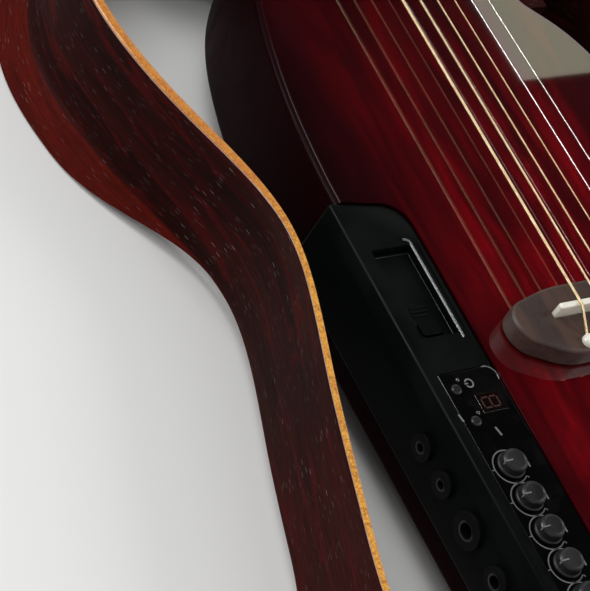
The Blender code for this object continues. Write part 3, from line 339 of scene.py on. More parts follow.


# the frames' rosewood: near black with red streaks and a few pale open pores, following the bend; painted sheen
# lightens it towards the tail and painted light reddens its lower part
def rosewoodBand():
    skin, shader = startSkin("rosewood band", specular=0.02)
    along = alongUv(shader)
    toNeck, height = axes(inPlace(shader))[1:]

    def leaning(turn, scale):
        return scaled(scaled(along, (1, 1, 1), (0, 0, turn)), scale)

    def pores(turn, scale, size):
        return useGroup(poreGroup, Vector=leaning(turn, scale), Size=size, Share=0.5)["Pores"]

    grain = grained(scaled(along, (9.0, 190.0, 1.0), (0, 0, 0.04)), 0.8)
    broad = grained(scaled(along, (5.0, 42.0, 1.0), (0, 0, -0.03)), 1.2)
    ember = grained(leaning(0.03, (15.0, 120.0, 1.0)), 1.3)["Streaks"]
    clumps = spread(noise(scaled(along, (14.0, 40.0, 1.0)), 1.0, 2.0), 0.4, 0.62)
    fine = pores(0.02, (130.0, 1000.0, 1.0), 0.14)
    reddish = blendColour(broad["Streaks"], (0.0085, 0.0026, 0.002), (0.024, 0.0048, 0.0034))
    brownish = blendColour(broad["Streaks"], (0.0105, 0.0044, 0.0033), (0.028, 0.0092, 0.0064))
    waist = maths("MINIMUM", spread(toNeck, 0.115, 0.075), spread(toNeck, -0.02, 0.04))
    colour = blendColour(waist, reddish, brownish)
    # painted sheen: a lighter red-brown towards the tail
    colour = blendColour(spread(toNeck, 0.03, -0.1, 0.0, 0.6), colour, (0.05, 0.0075, 0.0045))
    colour = layer(colour, grain["Streaks"], 0.4, (0.048, 0.004, 0.004))
    colour = blendColour(spread(ember, 0.62, 1.0, 0.0, 0.45), colour, (0.085, 0.004, 0.005))
    # painted light: the band's lower part below the lip, flared outwards on the upper bout, is lit as a lighter red
    paintedLitFlare = spread(height, -0.0064, -0.0076, 0.0, 0.8)
    colour = layer(colour, paintedLitFlare, between(broad["Fibres"], 0.6, 1.0), (0.115, 0.0065, 0.003))
    colour = layer(colour, grain["Fibres"], 0.4, (0.005, 0.0015, 0.0014))
    colour = layer(colour, fine, 0.55, (0.0025, 0.001, 0.001))
    colour = layer(colour, pores(-0.07, (62.0, 640.0, 1.0), 0.1), 0.5, (0.11, 0.08, 0.07))
    paleness = times(spread(toNeck, 0.2, 0.08, 0.4, 0.85), between(clumps, 0.15, 1.0))
    colour = layer(colour, pores(0.05, (44.0, 560.0, 1.0), 0.075), paleness, (0.25, 0.2, 0.18))
    feed(shader, {"Base Color": colour, "Roughness": between(grain["Fibres"], 0.45, 0.58)})
    bump(shader, maths("SUBTRACT", times(grain["Fibres"], 0.4), fine), 0.25, 0.0002)
    return skin


# the frames' front edge: amber maple with a mottled flame across it, darker and more orange towards the neck
def mapleEdge():
    skin, shader = startSkin("amber maple edge", 0.4, coat=0.2, coatRoughness=0.15)
    along = alongUv(shader)
    flame = noise(scaled(along, (260.0, 90.0, 1.0)), 1.0, 2.0, 0.5, 0.8)
    mottle = noise(scaled(along, (900.0, 900.0, 1.0)), 1.0, 3.0, 0.6)
    fibres = noise(scaled(along, (45.0, 2600.0, 1.0)), 1.0, 3.0)
    colour = blendColour(spread(flame, 0.35, 0.65), (0.45, 0.145, 0.013), (0.68, 0.285, 0.03))
    colour = layer(colour, spread(mottle, 0.46, 0.64), 0.7, (0.95, 0.54, 0.075))
    colour = layer(colour, spread(fibres, 0.55, 0.75), 0.3, (0.33, 0.11, 0.018))
    neckward = spread(axes(inPlace(shader))["Y"], 0.045, 0.11, 0.0, 0.55)
    feed(shader, {"Base Color": blendColour(neckward, colour, (0.43, 0.11, 0.009))})
    bump(shader, fibres, 0.08, 0.0001)
    return skin


# the thin pale glue line between maple and rosewood
def plyLine():
    skin, shader = startSkin("pale ply line", 0.45)
    fibres = scaled(alongUv(shader), (60.0, 900.0, 1.0))
    feed(shader, {"Base Color": drift(fibres, 1.0, 3.0, (0.22, 0.17, 0.17), (0.36, 0.3, 0.31))})
    return skin


# open-pored wood with its grain along the neck
def plainWood(name, dark, light, poreColour, roughness, coat=0.0):
    skin, shader = startSkin(name, coat=coat, coatRoughness=0.08)
    where = inPlace(shader)
    grain = grained(scaled(where, (120.0, 8.0, 120.0)), 0.7)
    colour = layer(blendColour(grain["Streaks"], dark, light), grain["Fibres"], 0.35, dark)
    pores = useGroup(poreGroup, Vector=scaled(where, (900.0, 170.0, 900.0)), Size=0.2, Share=0.35)["Pores"]
    feed(shader, {"Base Color": layer(colour, pores, 0.7, poreColour),
                  "Roughness": between(grain["Fibres"], roughness - 0.05, roughness + 0.08)})
    bump(shader, times(pores, -1.0), 0.2, 0.00015)
    return skin


# a tone of the same colour, and never quite black
def toned(colour, share, lift=0.0006):
    return tuple(share * c + lift for c in colour)


# satin moulded plastic
def mouldedPlastic(name, colour, low, high, height=0.12, tone=1.25, scale=3500.0, shine=0.3):
    skin, shader = startSkin(name, specular=shine)
    texture = useGroup(mouldedGroup, Vector=inPlace(shader), Scale=scale)
    feed(shader, {"Base Color": blendColour(texture["Sheen"], colour, toned(colour, tone)),
                  "Roughness": between(texture["Sheen"], low, high)})
    bump(shader, texture["Height"], height, 0.00008)
    return skin


# smears change the colour a little and dull the gloss
def smear(shader, colour, smeared, roughness):
    marks = useGroup(handlingGroup, Vector=inPlace(shader))
    feed(shader, {"Base Color": blendColour(marks["Smears"], colour, smeared),
                  "Roughness": between(marks["Smears"], roughness, roughness + 0.12)})
    return marks


def glossPlastic(name, colour, roughness=0.12, coat=0.6, shine=0.5):
    skin, shader = startSkin(name, coat=coat, specular=shine)
    smear(shader, colour, toned(colour, 1.3), roughness)
    return skin


def metalFinish(name, colour, roughness, brushed=0.0):
    skin, shader = startSkin(name, metallic=1.0)
    marks = smear(shader, colour, toned(colour, 0.82, 0.0), roughness)
    bump(shader, marks["Scratches"], 0.05 + brushed, 0.00003)
    return skin


# bronze winding: fine ridges round the string, with painted shade darkening the valleys between them
def woundString():
    pitch = 0.00042
    skin, shader = startSkin("bronze winding", metallic=0.75)
    where = inPlace(shader)
    ridge = maths("SINE", times(axes(where)["Y"], 2 * math.pi / pitch))
    tone = spread(noise(where, 300.0, 2.0), 0.35, 0.7)
    shine = blendColour(tone, (0.9, 0.68, 0.36), (0.98, 0.83, 0.53))
    # painted shade in the valleys between the windings
    valleyShade = spread(ridge, -1.0, 0.2, 0.4, 0.0)
    feed(shader, {"Base Color": blendColour(valleyShade, shine, (0.26, 0.14, 0.06)),
                  "Roughness": between(tone, 0.28, 0.42)})
    bump(shader, ridge, 0.5, 0.00008)
    return skin


def boneWhite():
    skin, shader = startSkin("polished bone", 0.3, coat=0.2, coatRoughness=0.1)
    fibres = scaled(inPlace(shader), (400.0, 1500.0, 400.0))
    feed(shader, {"Base Color": drift(fibres, 1.0, 4.0, (0.78, 0.72, 0.6), (0.86, 0.82, 0.72), 0.35),
                  "Subsurface Weight": 0.1})
    return skin


# the smoked red window of the display
def darkWindow():
    skin, shader = startSkin("smoked window", 0.12, coat=0.8, coatRoughness=0.02)
    smears = useGroup(handlingGroup, Vector=inPlace(shader))["Smears"]
    feed(shader, {"Base Color": blendColour(smears, (0.004, 0.0015, 0.0015), (0.006, 0.002, 0.002))})
    return skin


def litDigit():
    skin, shader = startSkin("digit segment", 0.3)
    colour = drift(inPlace(shader), 900.0, 2.0, (0.03, 0.012, 0.011), (0.042, 0.017, 0.015))
    feed(shader, {"Base Color": colour})
    return skin


# the sleeve of a round cell, plain, with a dark band at one end
def cellSleeve():
    skin, shader = startSkin("cell sleeve", 0.3, 0.4)
    where = inPlace(shader)
    sleeve = drift(where, 150.0, 2.0, (0.42, 0.3, 0.05), (0.5, 0.37, 0.08))
    end = spread(axes(where)["Y"], 0.04, 0.0405)
    feed(shader, {"Base Color": blendColour(end, sleeve, (0.03, 0.03, 0.03))})
    return skin


# solder mask with faint tracks
def greenBoard():
    skin, shader = startSkin("solder mask green", 0.35)
    where = inPlace(shader)
    tracks = put("ShaderNodeTexBrick", {"Vector": where, "Scale": 260.0, "Mortar Size": 0.03}).outputs["Fac"]
    mask = drift(where, 80.0, 2.0, (0.01, 0.075, 0.03), (0.015, 0.11, 0.045))
    feed(shader, {"Base Color": blendColour(spread(tracks, 0.2, 0.8), mask, (0.05, 0.22, 0.1))})
    return skin


skins = {
    "crimson": crimsonGloss(),
    "rosewood": rosewoodBand(),
    "maple": mapleEdge(),
    "ply": plyLine(),
    "mahogany": plainWood("satin mahogany", (0.055, 0.016, 0.01), (0.115, 0.036, 0.02), (0.02, 0.006, 0.004),
                          0.4, 0.15),
    "head": plainWood("head veneer gloss", (0.012, 0.004, 0.004), (0.035, 0.008, 0.008), (0.006, 0.003, 0.003),
                      0.3, 1.0),
    "board": plainWood("oiled rosewood", (0.026, 0.011, 0.008), (0.065, 0.027, 0.017), (0.008, 0.004, 0.003), 0.5),
    # painted highlight: pale grey beads standing for the edge glints on the housing and the panel
    "bead": mouldedPlastic("pale glint grey", (0.095, 0.1, 0.097), 0.2, 0.3, shine=0.7),
    "button": mouldedPlastic("button black", (0.012, 0.012, 0.0125), 0.2, 0.3),
    "black": mouldedPlastic("satin black plastic", (0.0016, 0.0024, 0.0021), 0.38, 0.48, shine=0.05),
    "knob": mouldedPlastic("knob black", (0.008, 0.008, 0.0085), 0.3, 0.42, 0.08),
    "cover": mouldedPlastic("cover black", (0.011, 0.011, 0.012), 0.45, 0.58, 0.2),
    "panel": glossPlastic("panel gloss", (0.0016, 0.0016, 0.0018), 0.25, 0.2, 0.03),
    "jack": mouldedPlastic("socket black", (0.003, 0.003, 0.0033), 0.35, 0.45, shine=0.08),
    # painted shade: the steel socket rings are darkened, as the housing's side lies in shade
    "ring": metalFinish("shade darkened steel", (0.085, 0.085, 0.09), 0.32),
    "window": darkWindow(),
    "digit": litDigit(),
    "mark": mouldedPlastic("printed grey mark", (0.125, 0.125, 0.12), 0.4, 0.5, 0.02),
    "lamp": glossPlastic("lamp lens", (0.035, 0.03, 0.022), 0.2),
    "chrome": metalFinish("chrome", (0.8, 0.8, 0.82), 0.08),
    "steel": metalFinish("plain steel", (0.56, 0.56, 0.58), 0.28, 0.1),
    "brass": metalFinish("brass", (0.62, 0.46, 0.22), 0.3, 0.05),
    "fret": metalFinish("fret nickel", (0.72, 0.7, 0.66), 0.18),
    "plain": metalFinish("plain string", (0.8, 0.79, 0.76), 0.2),
    "wound": woundString(),
    "bone": boneWhite(),
    "pearl": glossPlastic("pale dot", (0.72, 0.7, 0.64), 0.2),
    "felt": mouldedPlastic("black felt", (0.012, 0.012, 0.012), 0.9, 0.98, 0.6, 1.6, 1800.0),
    "cell": cellSleeve(),
    "circuit": greenBoard(),
}
print("finishes made:", len(skins))

# Helpers for lines and curves

# how far along a line each of its points lies
def distances(points):
    return np.concatenate([[0], np.cumsum(np.linalg.norm(np.diff(points, axis=0), axis=1))])


def unit(steps):
    return steps / np.linalg.norm(steps, axis=1)[:, None]


# points between two places, each given by its shares of the two distances
def onTheWay(start, end, stops):
    return [(start[0] + u * (end[0] - start[0]), start[1] + v * (end[1] - start[1])) for u, v in stops]


def arc(centre, radius, start, end, steps):
    turns = np.radians(np.linspace(start, end, steps))
    return [(centre[0] + radius * math.cos(a), centre[1] + radius * math.sin(a)) for a in turns]


def ease(value):
    value = min(max(value, 0.0), 1.0)
    return value * value * (3 - 2 * value)


# evenly spaced points on a natural cubic spline
def evenCurve(points, count):
    points = np.array(points, float)
    knots = distances(points)
    step = np.diff(knots)
    size = len(points)
    system = np.eye(size)
    right = np.zeros(points.shape)
    for k in range(1, size - 1):
        system[k, k - 1:k + 2] = step[k - 1], 2 * (step[k - 1] + step[k]), step[k]
        right[k] = 6 * ((points[k + 1] - points[k]) / step[k] - (points[k] - points[k - 1]) / step[k - 1])
    bend = np.linalg.solve(system, right)
    found = []
    for where in np.linspace(0, knots[-1], count):
        k = max(min(np.searchsorted(knots, where, side="right") - 1, size - 2), 0)
        a, b, h = knots[k + 1] - where, where - knots[k], step[k]
        ends = (points[k] / h - bend[k] * h / 6) * a + (points[k + 1] / h - bend[k + 1] * h / 6) * b
        found.append(ends + (bend[k] * a**3 + bend[k + 1] * b**3) / (6 * h))
    return np.array(found)


# a mesh built face by face becomes an object
def fromShell(name, shell, *skinNames):
    bmesh.ops.recalc_face_normals(shell, faces=shell.faces)
    piece = newObject(name, bpy.data.meshes.new(name))
    paint(piece, *skinNames)
    shell.to_mesh(piece.data)
    shell.free()
    return piece


# The side frames: bent bands with a maple front edge

bandShape = {
    "thickness": 4.4, "front": 49.4, "waistBack": -8.1, "extraDepth": 8.0, "lip": 1.5, "flare": 14.0,
    "dropFrom": 13.5, "dropRun": 82.0, "tailDropFrom": 75.0, "tailDropRun": 60.0, "flareFrom": 22.0,
    "flareRun": 40.0, "turnIn": ((0.0, 2.2), (0.03, 0.9)), "turnEnd": (0.12, 0.15), "tailHalf": 60.0, "tailY": -194.0,
    "tailRun": 26.0, "tailStops": ((0.66, 5.0), (0.86, 20.0), (0.965, 42.0)), "lowerHalf": 172.0, "lowerY": -120.0,
    "waistStops": ((0.0, 0.0), (0.26, 0.33), (0.622, 0.63), (0.919, 0.86), (1.0, 1.0)), "waistHalf": 124.4,
    "waistY": 76.5, "gap": 0.3, "mapleDepth": 1.7, "plyDepth": 0.5, "veneer": 1.0, "veneerLine": 0.3, "edgeFrom": 1.5,
    "wrapFrom": 50.0, "wrapRun": 90.0, "wrapDepth": 0.6, "wrapRoom": 2.2, "round": 0.7, "part": 0.3, "stations": 260,
}
# what differs: the upper bout or the horn, its shoulder, and where the band lands beside the neck
sideShape = {
    "bass": {
        "side": -1, "half": 156.0, "y": 204.0, "stops": ((0.24, 0.28), (0.66, 0.56), (0.94, 0.83), (1.0, 1.0)),
        "top": 280.0, "shoulder": ((9.0, 38.0), (33.0, 9.0)), "landing": 34.0, "drop": 0.0, "endX": 45.0,
        "grainShift": 0.0},
    "treble": {
        "side": 1, "half": 141.0, "y": 166.0, "stops": ((0.42, 0.42), (1.0, 1.0)), "top": 208.0,
        "shoulder": ((7.0, 14.0), (24.0, 0.0)), "landing": 26.0, "drop": 4.0, "endX": 62.0, "grainShift": 0.3},
}


# the band's outer face from its tail end to its neck end, on the +X side
def bandRoute(own):
    s = bandShape
    lower, waist = (s["lowerHalf"], s["lowerY"]), (s["waistHalf"], s["waistY"])
    neckY = own["top"] - own["drop"]
    route = [(s["tailHalf"] + s["gap"], s["tailY"]), (s["tailHalf"] + s["tailRun"], s["tailY"])]
    route += [(lower[0] * share, s["tailY"] + rise) for share, rise in s["tailStops"]]
    route += onTheWay(lower, waist, s["waistStops"]) + onTheWay(waist, (own["half"], own["y"]), own["stops"])
    route += [(own["half"] - x, own["top"] - y) for x, y in own["shoulder"]]
    return route + [(own["endX"] + own["landing"], neckY), (own["endX"] + s["gap"], neckY)]


# (outward, z, zone) round the band at one station; zones are 0 rosewood, 1 maple, 2 ply line
def bandSection(point, endX):
    s = bandShape
    upper = ease((point[1] - s["waistY"] - s["dropFrom"]) / s["dropRun"])
    lower = ease((s["lowerY"] + s["tailDropFrom"] - point[1]) / s["tailDropRun"])
    away = ease((point[0] - endX - s["flareFrom"]) / s["flareRun"])
    low = s["waistBack"] - s["extraDepth"] * max(upper, lower)
    lip = s["waistBack"] + s["lip"]
    flare = s["flare"] * upper * away
    front, thick, r = s["front"], s["thickness"], s["round"]
    part = r * s["part"]
    maple = front - s["mapleDepth"]
    turnIn = [(flare * share, lip + rise) for share, rise in s["turnIn"]]
    turnIn.append((flare * s["turnEnd"][0], lip - (lip - low) * s["turnEnd"][1]))
    corners = ((-s["edgeFrom"], front), (-r, front), (-part, front - part), (0.0, front - r),
               (0.0, front - r - s["wrapRoom"]))
    walked = distances(corners)
    least = s["edgeFrom"] - s["veneer"]
    seam = least + (walked[3] + s["wrapDepth"] - least) * ease((point[1] - s["wrapFrom"]) / s["wrapRun"])
    after = seam + s["veneerLine"]
    stops = [(seam * k / 4, 1) for k in (1, 2, 3)] + [(seam, 2), (after, 0)]
    stops += [(after + (walked[4] - after) * k / 5, 0) for k in (1, 2, 3, 4, 5)]
    section = [(*(float(np.interp(stop, walked, line)) for line in zip(*corners)), zone) for stop, zone in stops]
    section += [(across, z, 0) for across, z in turnIn]
    section += [(flare, low + r, 0), (flare - part, low + part, 0), (flare - r, low, 0)]
    section += [(flare - thick + r, low, 0), (flare - thick + part, low + part, 0), (flare - thick, low + r, 0)]
    section += [(across - thick, z, 0) for across, z in reversed(turnIn)]
    return section + [(-thick, maple - s["plyDepth"], 2), (-thick, maple, 1), (-thick, front - r, 1),
                      (part - thick, front - part, 1), (r - thick, front, 1), (-s["edgeFrom"], front, 1)]


# the band as one skin round its section, with its own map of length and girth for the grain
def makeBand(label):
    own = sideShape[label]
    route = evenCurve(bandRoute(own), bandShape["stations"])
    length = distances(route)
    ahead = unit(np.gradient(route, axis=0))
    ahead[0], ahead[-1] = (1.0, 0.0), (-1.0, 0.0)
    sections = [bandSection(point, own["endX"]) for point in route]
    girths = [distances([corner[:2] for corner in section + section[:1]]) for section in sections]
    shell = bmesh.new()
    grainMap = shell.loops.layers.uv.new("band")
    rings = [[shell.verts.new(((x + v * n) * own["side"] * mm, (y - u * n) * mm, z * mm)) for n, z, zone in section]
             for (x, y), (u, v), section in zip(route, ahead, sections)]
    count = len(sections[0])
    for row in range(len(rings) - 1):
        for k in range(count):
            after = (k + 1) % count
            face = shell.faces.new((rings[row][k], rings[row][after], rings[row + 1][after], rings[row + 1][k]))
            face.smooth = True
            face.material_index = sections[row][k][2]
            places = ((row, k), (row, k + 1), (row + 1, k + 1), (row + 1, k))
            for corner, (station, spot) in zip(face.loops, places):
                corner[grainMap].uv = (length[station] * mm, girths[station][spot] * mm + own["grainShift"])
    for ring, u in ((rings[0], 0.0), (rings[-1], length[-1])):
        for corner in shell.faces.new(ring).loops:
            corner[grainMap].uv = (corner.vert.co.x + u * mm, corner.vert.co.z)
    band = fromShell(label + "_band", shell, "rosewood", "maple", "ply")
    smoothUp(band, 40)
    fit(band, label + "_frame", True)


blockShape = {"length": 32.0, "depth": 20.0, "low": 6.0, "high": 42.0, "edge": 1.2}


# a glued block at a band's end, with a softened edge and its own grain map
def makeBlock(label, end, innerX, lowY, highY):
    b = blockShape
    low = Vector((innerX + bandShape["gap"], lowY, b["low"])) * mm
    high = Vector((innerX + b["length"], highY, b["high"])) * mm
    middle = (low + high) / 2
    middle.x *= sideShape[label]["side"]
    deselectAll()
    bpy.ops.mesh.primitive_cube_add(size=1, location=middle, scale=high - low)
    glued = bpy.context.object
    glued.name = f"{label}_{end}_block"
    settle(glued)
    roundEdges(glued, b["edge"], 3)
    editMesh(glued, lambda: bpy.ops.uv.cube_project(cube_size=1.0, correct_aspect=False))
    glued.data.uv_layers[0].name = "band"
    smoothUp(glued, 40)
    paint(glued, "rosewood")
    fit(glued, label + "_frame", False)


def makeFrames():
    s = bandShape
    half, reach = s["thickness"] / 2, s["thickness"] + blockShape["depth"]
    for label, own in sideShape.items():
        neckY = own["top"] - own["drop"]
        makeBand(label)
        makeBlock(label, "tail", s["tailHalf"], s["tailY"] + half, s["tailY"] + reach)
        makeBlock(label, "neck", own["endX"], neckY - reach, neckY - half)


makeFrames()
print("side frames made")

# Making new pieces: sizes in mm, finished in place

headTilt = {"y": 639.3, "z": 65.4, "angle": -14.0}
alongMinusX = Matrix.Rotation(math.radians(-90), 4, "Y")
alongX = Matrix.Rotation(math.radians(90), 4, "Y")
alongMinusY = Matrix.Rotation(math.radians(90), 4, "X")
faceDown = Matrix.Rotation(math.radians(180), 4, "X")


def at(x, y, z):
    return Matrix.Translation((x * mm, y * mm, z * mm))


toHead = at(0, headTilt["y"], headTilt["z"]) @ Matrix.Rotation(math.radians(headTilt["angle"]), 4, "X")


# the mesh goes to its place, so that the object itself stays at the origin
def moved(piece, matrix):
    piece.data.transform(matrix)
    return piece


def duplicate(piece, name, matrix):
    return moved(newObject(name, piece.data.copy()), matrix)


def joinUp(name, pieces):
    deselectAll()
    for piece in pieces:
        piece.select_set(True)
    bpy.context.view_layer.objects.active = pieces[0]
    bpy.ops.object.join()
    pieces[0].name = name
    return pieces[0]


# a flat outline given a thickness, with rounded corners and softened rims
def slab(name, outline, low, high, cornerRadius=0.0, edge=0.0):
    deselectAll()
    bpy.ops.mesh.primitive_circle_add(vertices=len(outline), radius=0.01, fill_type="NGON")
    piece = bpy.context.object
    piece.name = name
    for corner, (x, y) in zip(piece.data.vertices, outline):
        corner.co = (x * mm, y * mm, low * mm)
    steps = [lambda: bpy.ops.mesh.extrude_region_move(TRANSFORM_OT_translate={"value": (0, 0, (high - low) * mm)}),
             lambda: bpy.ops.mesh.normals_make_consistent(inside=False)]
    if cornerRadius:
        steps.insert(0, lambda: bpy.ops.mesh.bevel(offset=cornerRadius * mm, segments=6, affect="VERTICES"))
    editMesh(piece, *steps)
    if edge:
        roundEdges(piece, edge, 3, 50)
    return piece


def block(name, low, high):
    return slab(name, ((low[0], low[1]), (high[0], low[1]), (high[0], high[1]), (low[0], high[1])), low[2], high[2])


# a turned piece on its own Z axis from (radius, height) points, closed on the axis
def lathed(name, profile, sides):
    points = [(0.0, profile[0][1]), *profile, (0.0, profile[-1][1])]
    mesh = bpy.data.meshes.new(name)
    mesh.from_pydata([(r * mm, 0, z * mm) for r, z in points], [(k, k + 1) for k in range(len(points) - 1)], [])
    piece = newObject(name, mesh)
    editMesh(piece, lambda: bpy.ops.mesh.spin(steps=sides, angle=2 * math.pi, center=(0, 0, 0), axis=(0, 0, 1)),
             lambda: bpy.ops.mesh.remove_doubles(threshold=0.000005),
             lambda: bpy.ops.mesh.normals_make_consistent(inside=False))
    return piece


def carve(piece, tool):
    step = piece.modifiers.new("carve", "BOOLEAN")
    step.operation = "DIFFERENCE"
    step.object = tool
    applyAll(piece)
    discard(tool)


def bore(piece, radius, low, high, sides, place=Matrix()):
    carve(piece, moved(lathed("bore", ((radius, low), (radius, high)), sides), place))


# pulls in every second upright edge between two heights
def knurl(piece, lowZ, highZ, sides, share=0.955):
    for corner in piece.data.vertices:
        if lowZ * mm <= corner.co.z <= highZ * mm and corner.co.xy.length >= 0.001:
            if round(math.atan2(corner.co.y, corner.co.x) / (2 * math.pi / sides)) % 2:
                corner.co.xy *= share


screwShape = {"radius": 2.6, "height": 1.1, "slotWidth": 0.55, "slotLength": 3.4, "slotDepth": 0.6}


# a domed head with a cross cut in it
def makeScrew():
    w = screwShape
    r, h, long, wide = w["radius"], w["height"], w["slotLength"] / 2, w["slotWidth"] / 2
    dome = ((1.0, 0.0), (1.0, 0.35), (0.86, 0.75), (0.55, 0.95), (0.2, 1.0))
    head = lathed("screw_pattern", [(r * across, h * up) for across, up in dome], 24)
    for turn in (0, 90):
        tool = block("cross", (-long, -wide, h - w["slotDepth"]), (long, wide, h + 1.0))
        carve(head, moved(tool, Matrix.Rotation(math.radians(turn), 4, "Z")))
    return head


screwPattern = makeScrew()


# copies of the screw at the given matrices, joined in one piece
def putScrews(name, places, size, node):
    made = [duplicate(screwPattern, f"{name}_{k}", matrix @ Matrix.Rotation(k * 1.1, 4, "Z") @ Matrix.Scale(size, 4))
            for k, matrix in enumerate(places)]
    finishPiece(joinUp(name, made), "steel", node)


lockShape = {
    "places": {"frame_lock_tail": (-60.0, -178.6, 24.0), "frame_lock_neck": (-45.0, 264.6, 24.0)},
    "shank": 3.0, "reach": -24.0, "start": 32.3, "radius": 8.0, "thick": 7.0, "ridges": 60, "slot": (5.2, 0.8, 2.2),
}

# The body, its cover and its strap pins

coverPlace = {"centre": (-22.0, 66.0), "half": (33.0, 44.0), "inset": 3.2, "room": 0.3}
pinShape = {
    "tail": (0.0, -198.3, 29.0), "neck": (45.3, 270.0, 29.0), "feltRadius": 8.6, "feltThick": 1.2, "screwZ": 12.3,
    "button": (
        (2.0, -20.0), (2.0, 0.0), (5.6, 0.0), (5.6, 1.6), (5.2, 2.4), (4.0, 3.8), (3.5, 5.0), (3.5, 8.4), (4.0, 9.6),
        (5.6, 10.9), (6.7, 11.3), (7.0, 11.7), (7.0, 12.4), (6.7, 12.8), (6.1, 13.0), (3.4, 13.0), (3.0, 12.5)),
}
bodyShape = {
    "thick": 58.0, "tailY": -198.0, "shoulderY": 284.0, "bass": 100.0, "treble": 95.0, "tailHalf": 60.0,
    "tailRun": 34.0, "swellRun": 26.0, "neckHalf": 45.0, "neckRun": 40.0, "taperY": 86.0, "hornX": 62.0,
    "hornSeat": (174.0, 220.0), "edge": 4.0, "edgeSteps": 6, "cornerWindow": 6, "turnKept": 2.5, "farKept": 14.0,
    "tailStops": ((0.0, 0.0), (0.42, 0.22), (0.9, 0.68), (1.0, 1.0)),
    "bassStops": ((0.0, 0.0), (0.05, 0.22), (0.2, 0.5), (0.56, 0.82), (1.0, 1.0)),
    "trebleStops": ((0.0, 0.0), (0.12, 0.36), (0.52, 0.78), (1.0, 1.0)),
    "seatDepth": 2.1, "cavity": (28.0, 39.0, 24.0), "lockHole": (3.3, -24.3, 5.0, 24),
    "strapHole": (2.3, -20.3, 6.0, 16), "pocket": {
        "inner": -68.4, "outer": -103.8, "neck": 74.3, "tail": -134.3, "slant": 4.0, "corner": 14.0, "low": 15.9},
}


# the body seen from the front, as one closed line with softened corners
def bodyOutline():
    b = bodyShape
    tail, neckHalf, shoulderY = b["tailHalf"], b["neckHalf"], b["shoulderY"]
    tailBreak, neckBreak = b["tailY"] + b["tailRun"], shoulderY - b["neckRun"]
    half = {}
    for side, end in (("bass", (neckHalf, neckBreak)), ("treble", (b["hornX"], b["hornSeat"][0]))):
        swell = onTheWay((tail, tailBreak), (b[side], tailBreak + b["swellRun"]), b["tailStops"])
        taper = onTheWay((b[side], b["taperY"]), end, b[side + "Stops"])
        half[side] = [(tail, b["tailY"]), *map(tuple, evenCurve(swell, 30)), *map(tuple, evenCurve(taper, 60))]
    half["bass"].append((neckHalf, shoulderY))
    half["treble"] += [(b["hornX"], b["hornSeat"][1]), (neckHalf, neckBreak), (neckHalf, shoulderY)]
    corners = np.array([(-x, y) for x, y in half["bass"]] + half["treble"][::-1])
    closed = np.vstack([corners, corners[:1]])
    walked = distances(closed)
    count = int(walked[-1])
    even = np.linspace(0, walked[-1], count, endpoint=False)
    dense = np.stack([np.interp(even, walked, closed[:, k]) for k in (0, 1)], axis=1)
    window = b["cornerWindow"]
    soft = sum(np.roll(dense, k, axis=0) for k in range(-window, window + 1)) / (2 * window + 1)
    ahead = np.roll(soft, -1, axis=0) - np.roll(soft, 1, axis=0)
    heading = np.degrees(np.unwrap(np.arctan2(ahead[:, 1], ahead[:, 0])))
    kept = [0]
    for k in range(1, count):
        if abs(heading[k] - heading[kept[-1]]) > b["turnKept"] or k - kept[-1] > b["farKept"]:
            kept.append(k)
    return soft[kept], unit(np.stack([ahead[:, 1], -ahead[:, 0]], axis=1))[kept]


# the body's shell: rings of the outline, drawn in towards the front and the back
def makeShell():
    b = bodyShape
    line, inward = bodyOutline()
    r = b["edge"]
    levels = [(r - r * math.sin(a), r - r * math.cos(a)) for a in np.linspace(0, math.pi / 2, b["edgeSteps"] + 1)]
    levels += [(shift, b["thick"] - z) for shift, z in levels[::-1]]
    shell = bmesh.new()
    rings = [[shell.verts.new(((x + u * shift) * mm, (y + v * shift) * mm, z * mm))
              for (x, y), (u, v) in zip(line, inward)] for shift, z in levels]
    for lower, upper in zip(rings, rings[1:]):
        for k in range(len(line)):
            after = (k + 1) % len(line)
            shell.faces.new((lower[k], lower[after], upper[after], upper[k]))
    shell.faces.new(rings[0])
    shell.faces.new(rings[-1])
    return fromShell("crimson_body", shell)


def makeBody():
    b, p = bodyShape, bodyShape["pocket"]
    body = makeShell()
    middle = (p["inner"] - p["corner"], p["neck"] - p["corner"])
    outline = [(p["outer"], p["tail"]), (p["inner"], p["tail"])] + arc(middle, p["corner"], 0, 90, 9)
    outline.append((p["outer"], p["neck"] + p["slant"]))
    carve(body, slab("pocket", outline, p["low"], b["thick"] + 10))
    (x, y), (halfX, halfY), room = coverPlace["centre"], coverPlace["half"], coverPlace["room"]
    for wide, long, deep in ((halfX + room, halfY + room, b["seatDepth"]), b["cavity"]):
        carve(body, block("hollow", (x - wide, y - long, -9.0), (x + wide, y + long, deep)))
    for place in lockShape["places"].values():
        bore(body, *b["lockHole"], at(*place) @ alongMinusX)
    seats = {label: at(*pinShape[label]) @ turn for label, turn in (("tail", alongMinusY), ("neck", alongX))}
    for seat in seats.values():
        bore(body, *b["strapHole"], seat)
    finishPiece(body, "crimson", "body_core", True, 40)
    copyOfNode("back_cover", "cover", 0.3)
    halfX, halfY = halfX - coverPlace["inset"], halfY - coverPlace["inset"]
    corners = [at(x + sx * halfX, y + sy * halfY, 0.0) @ faceDown for sx in (-1, 1) for sy in (-1, 1)]
    putScrews("cover_screws", corners, 0.8, "back_cover")
    r, t = pinShape["feltRadius"], pinShape["feltThick"]
    for label, seat in seats.items():
        node = "strap_pin_" + label
        finishPiece(moved(lathed(f"strap_button_{label}", pinShape["button"], 40), seat), "chrome", node, True, 35)
        felt = lathed(f"strap_felt_{label}", ((r - 0.3, 0.0), (r, 0.3), (r, t - 0.3), (r - 0.5, t)), 40)
        finishPiece(moved(felt, seat), "felt", node)
        putScrews(f"strap_screw_{label}", [seat @ at(0, 0, pinShape["screwZ"])], 1.0, node)


makeBody()
print("body made")

# The neck, its board and its head

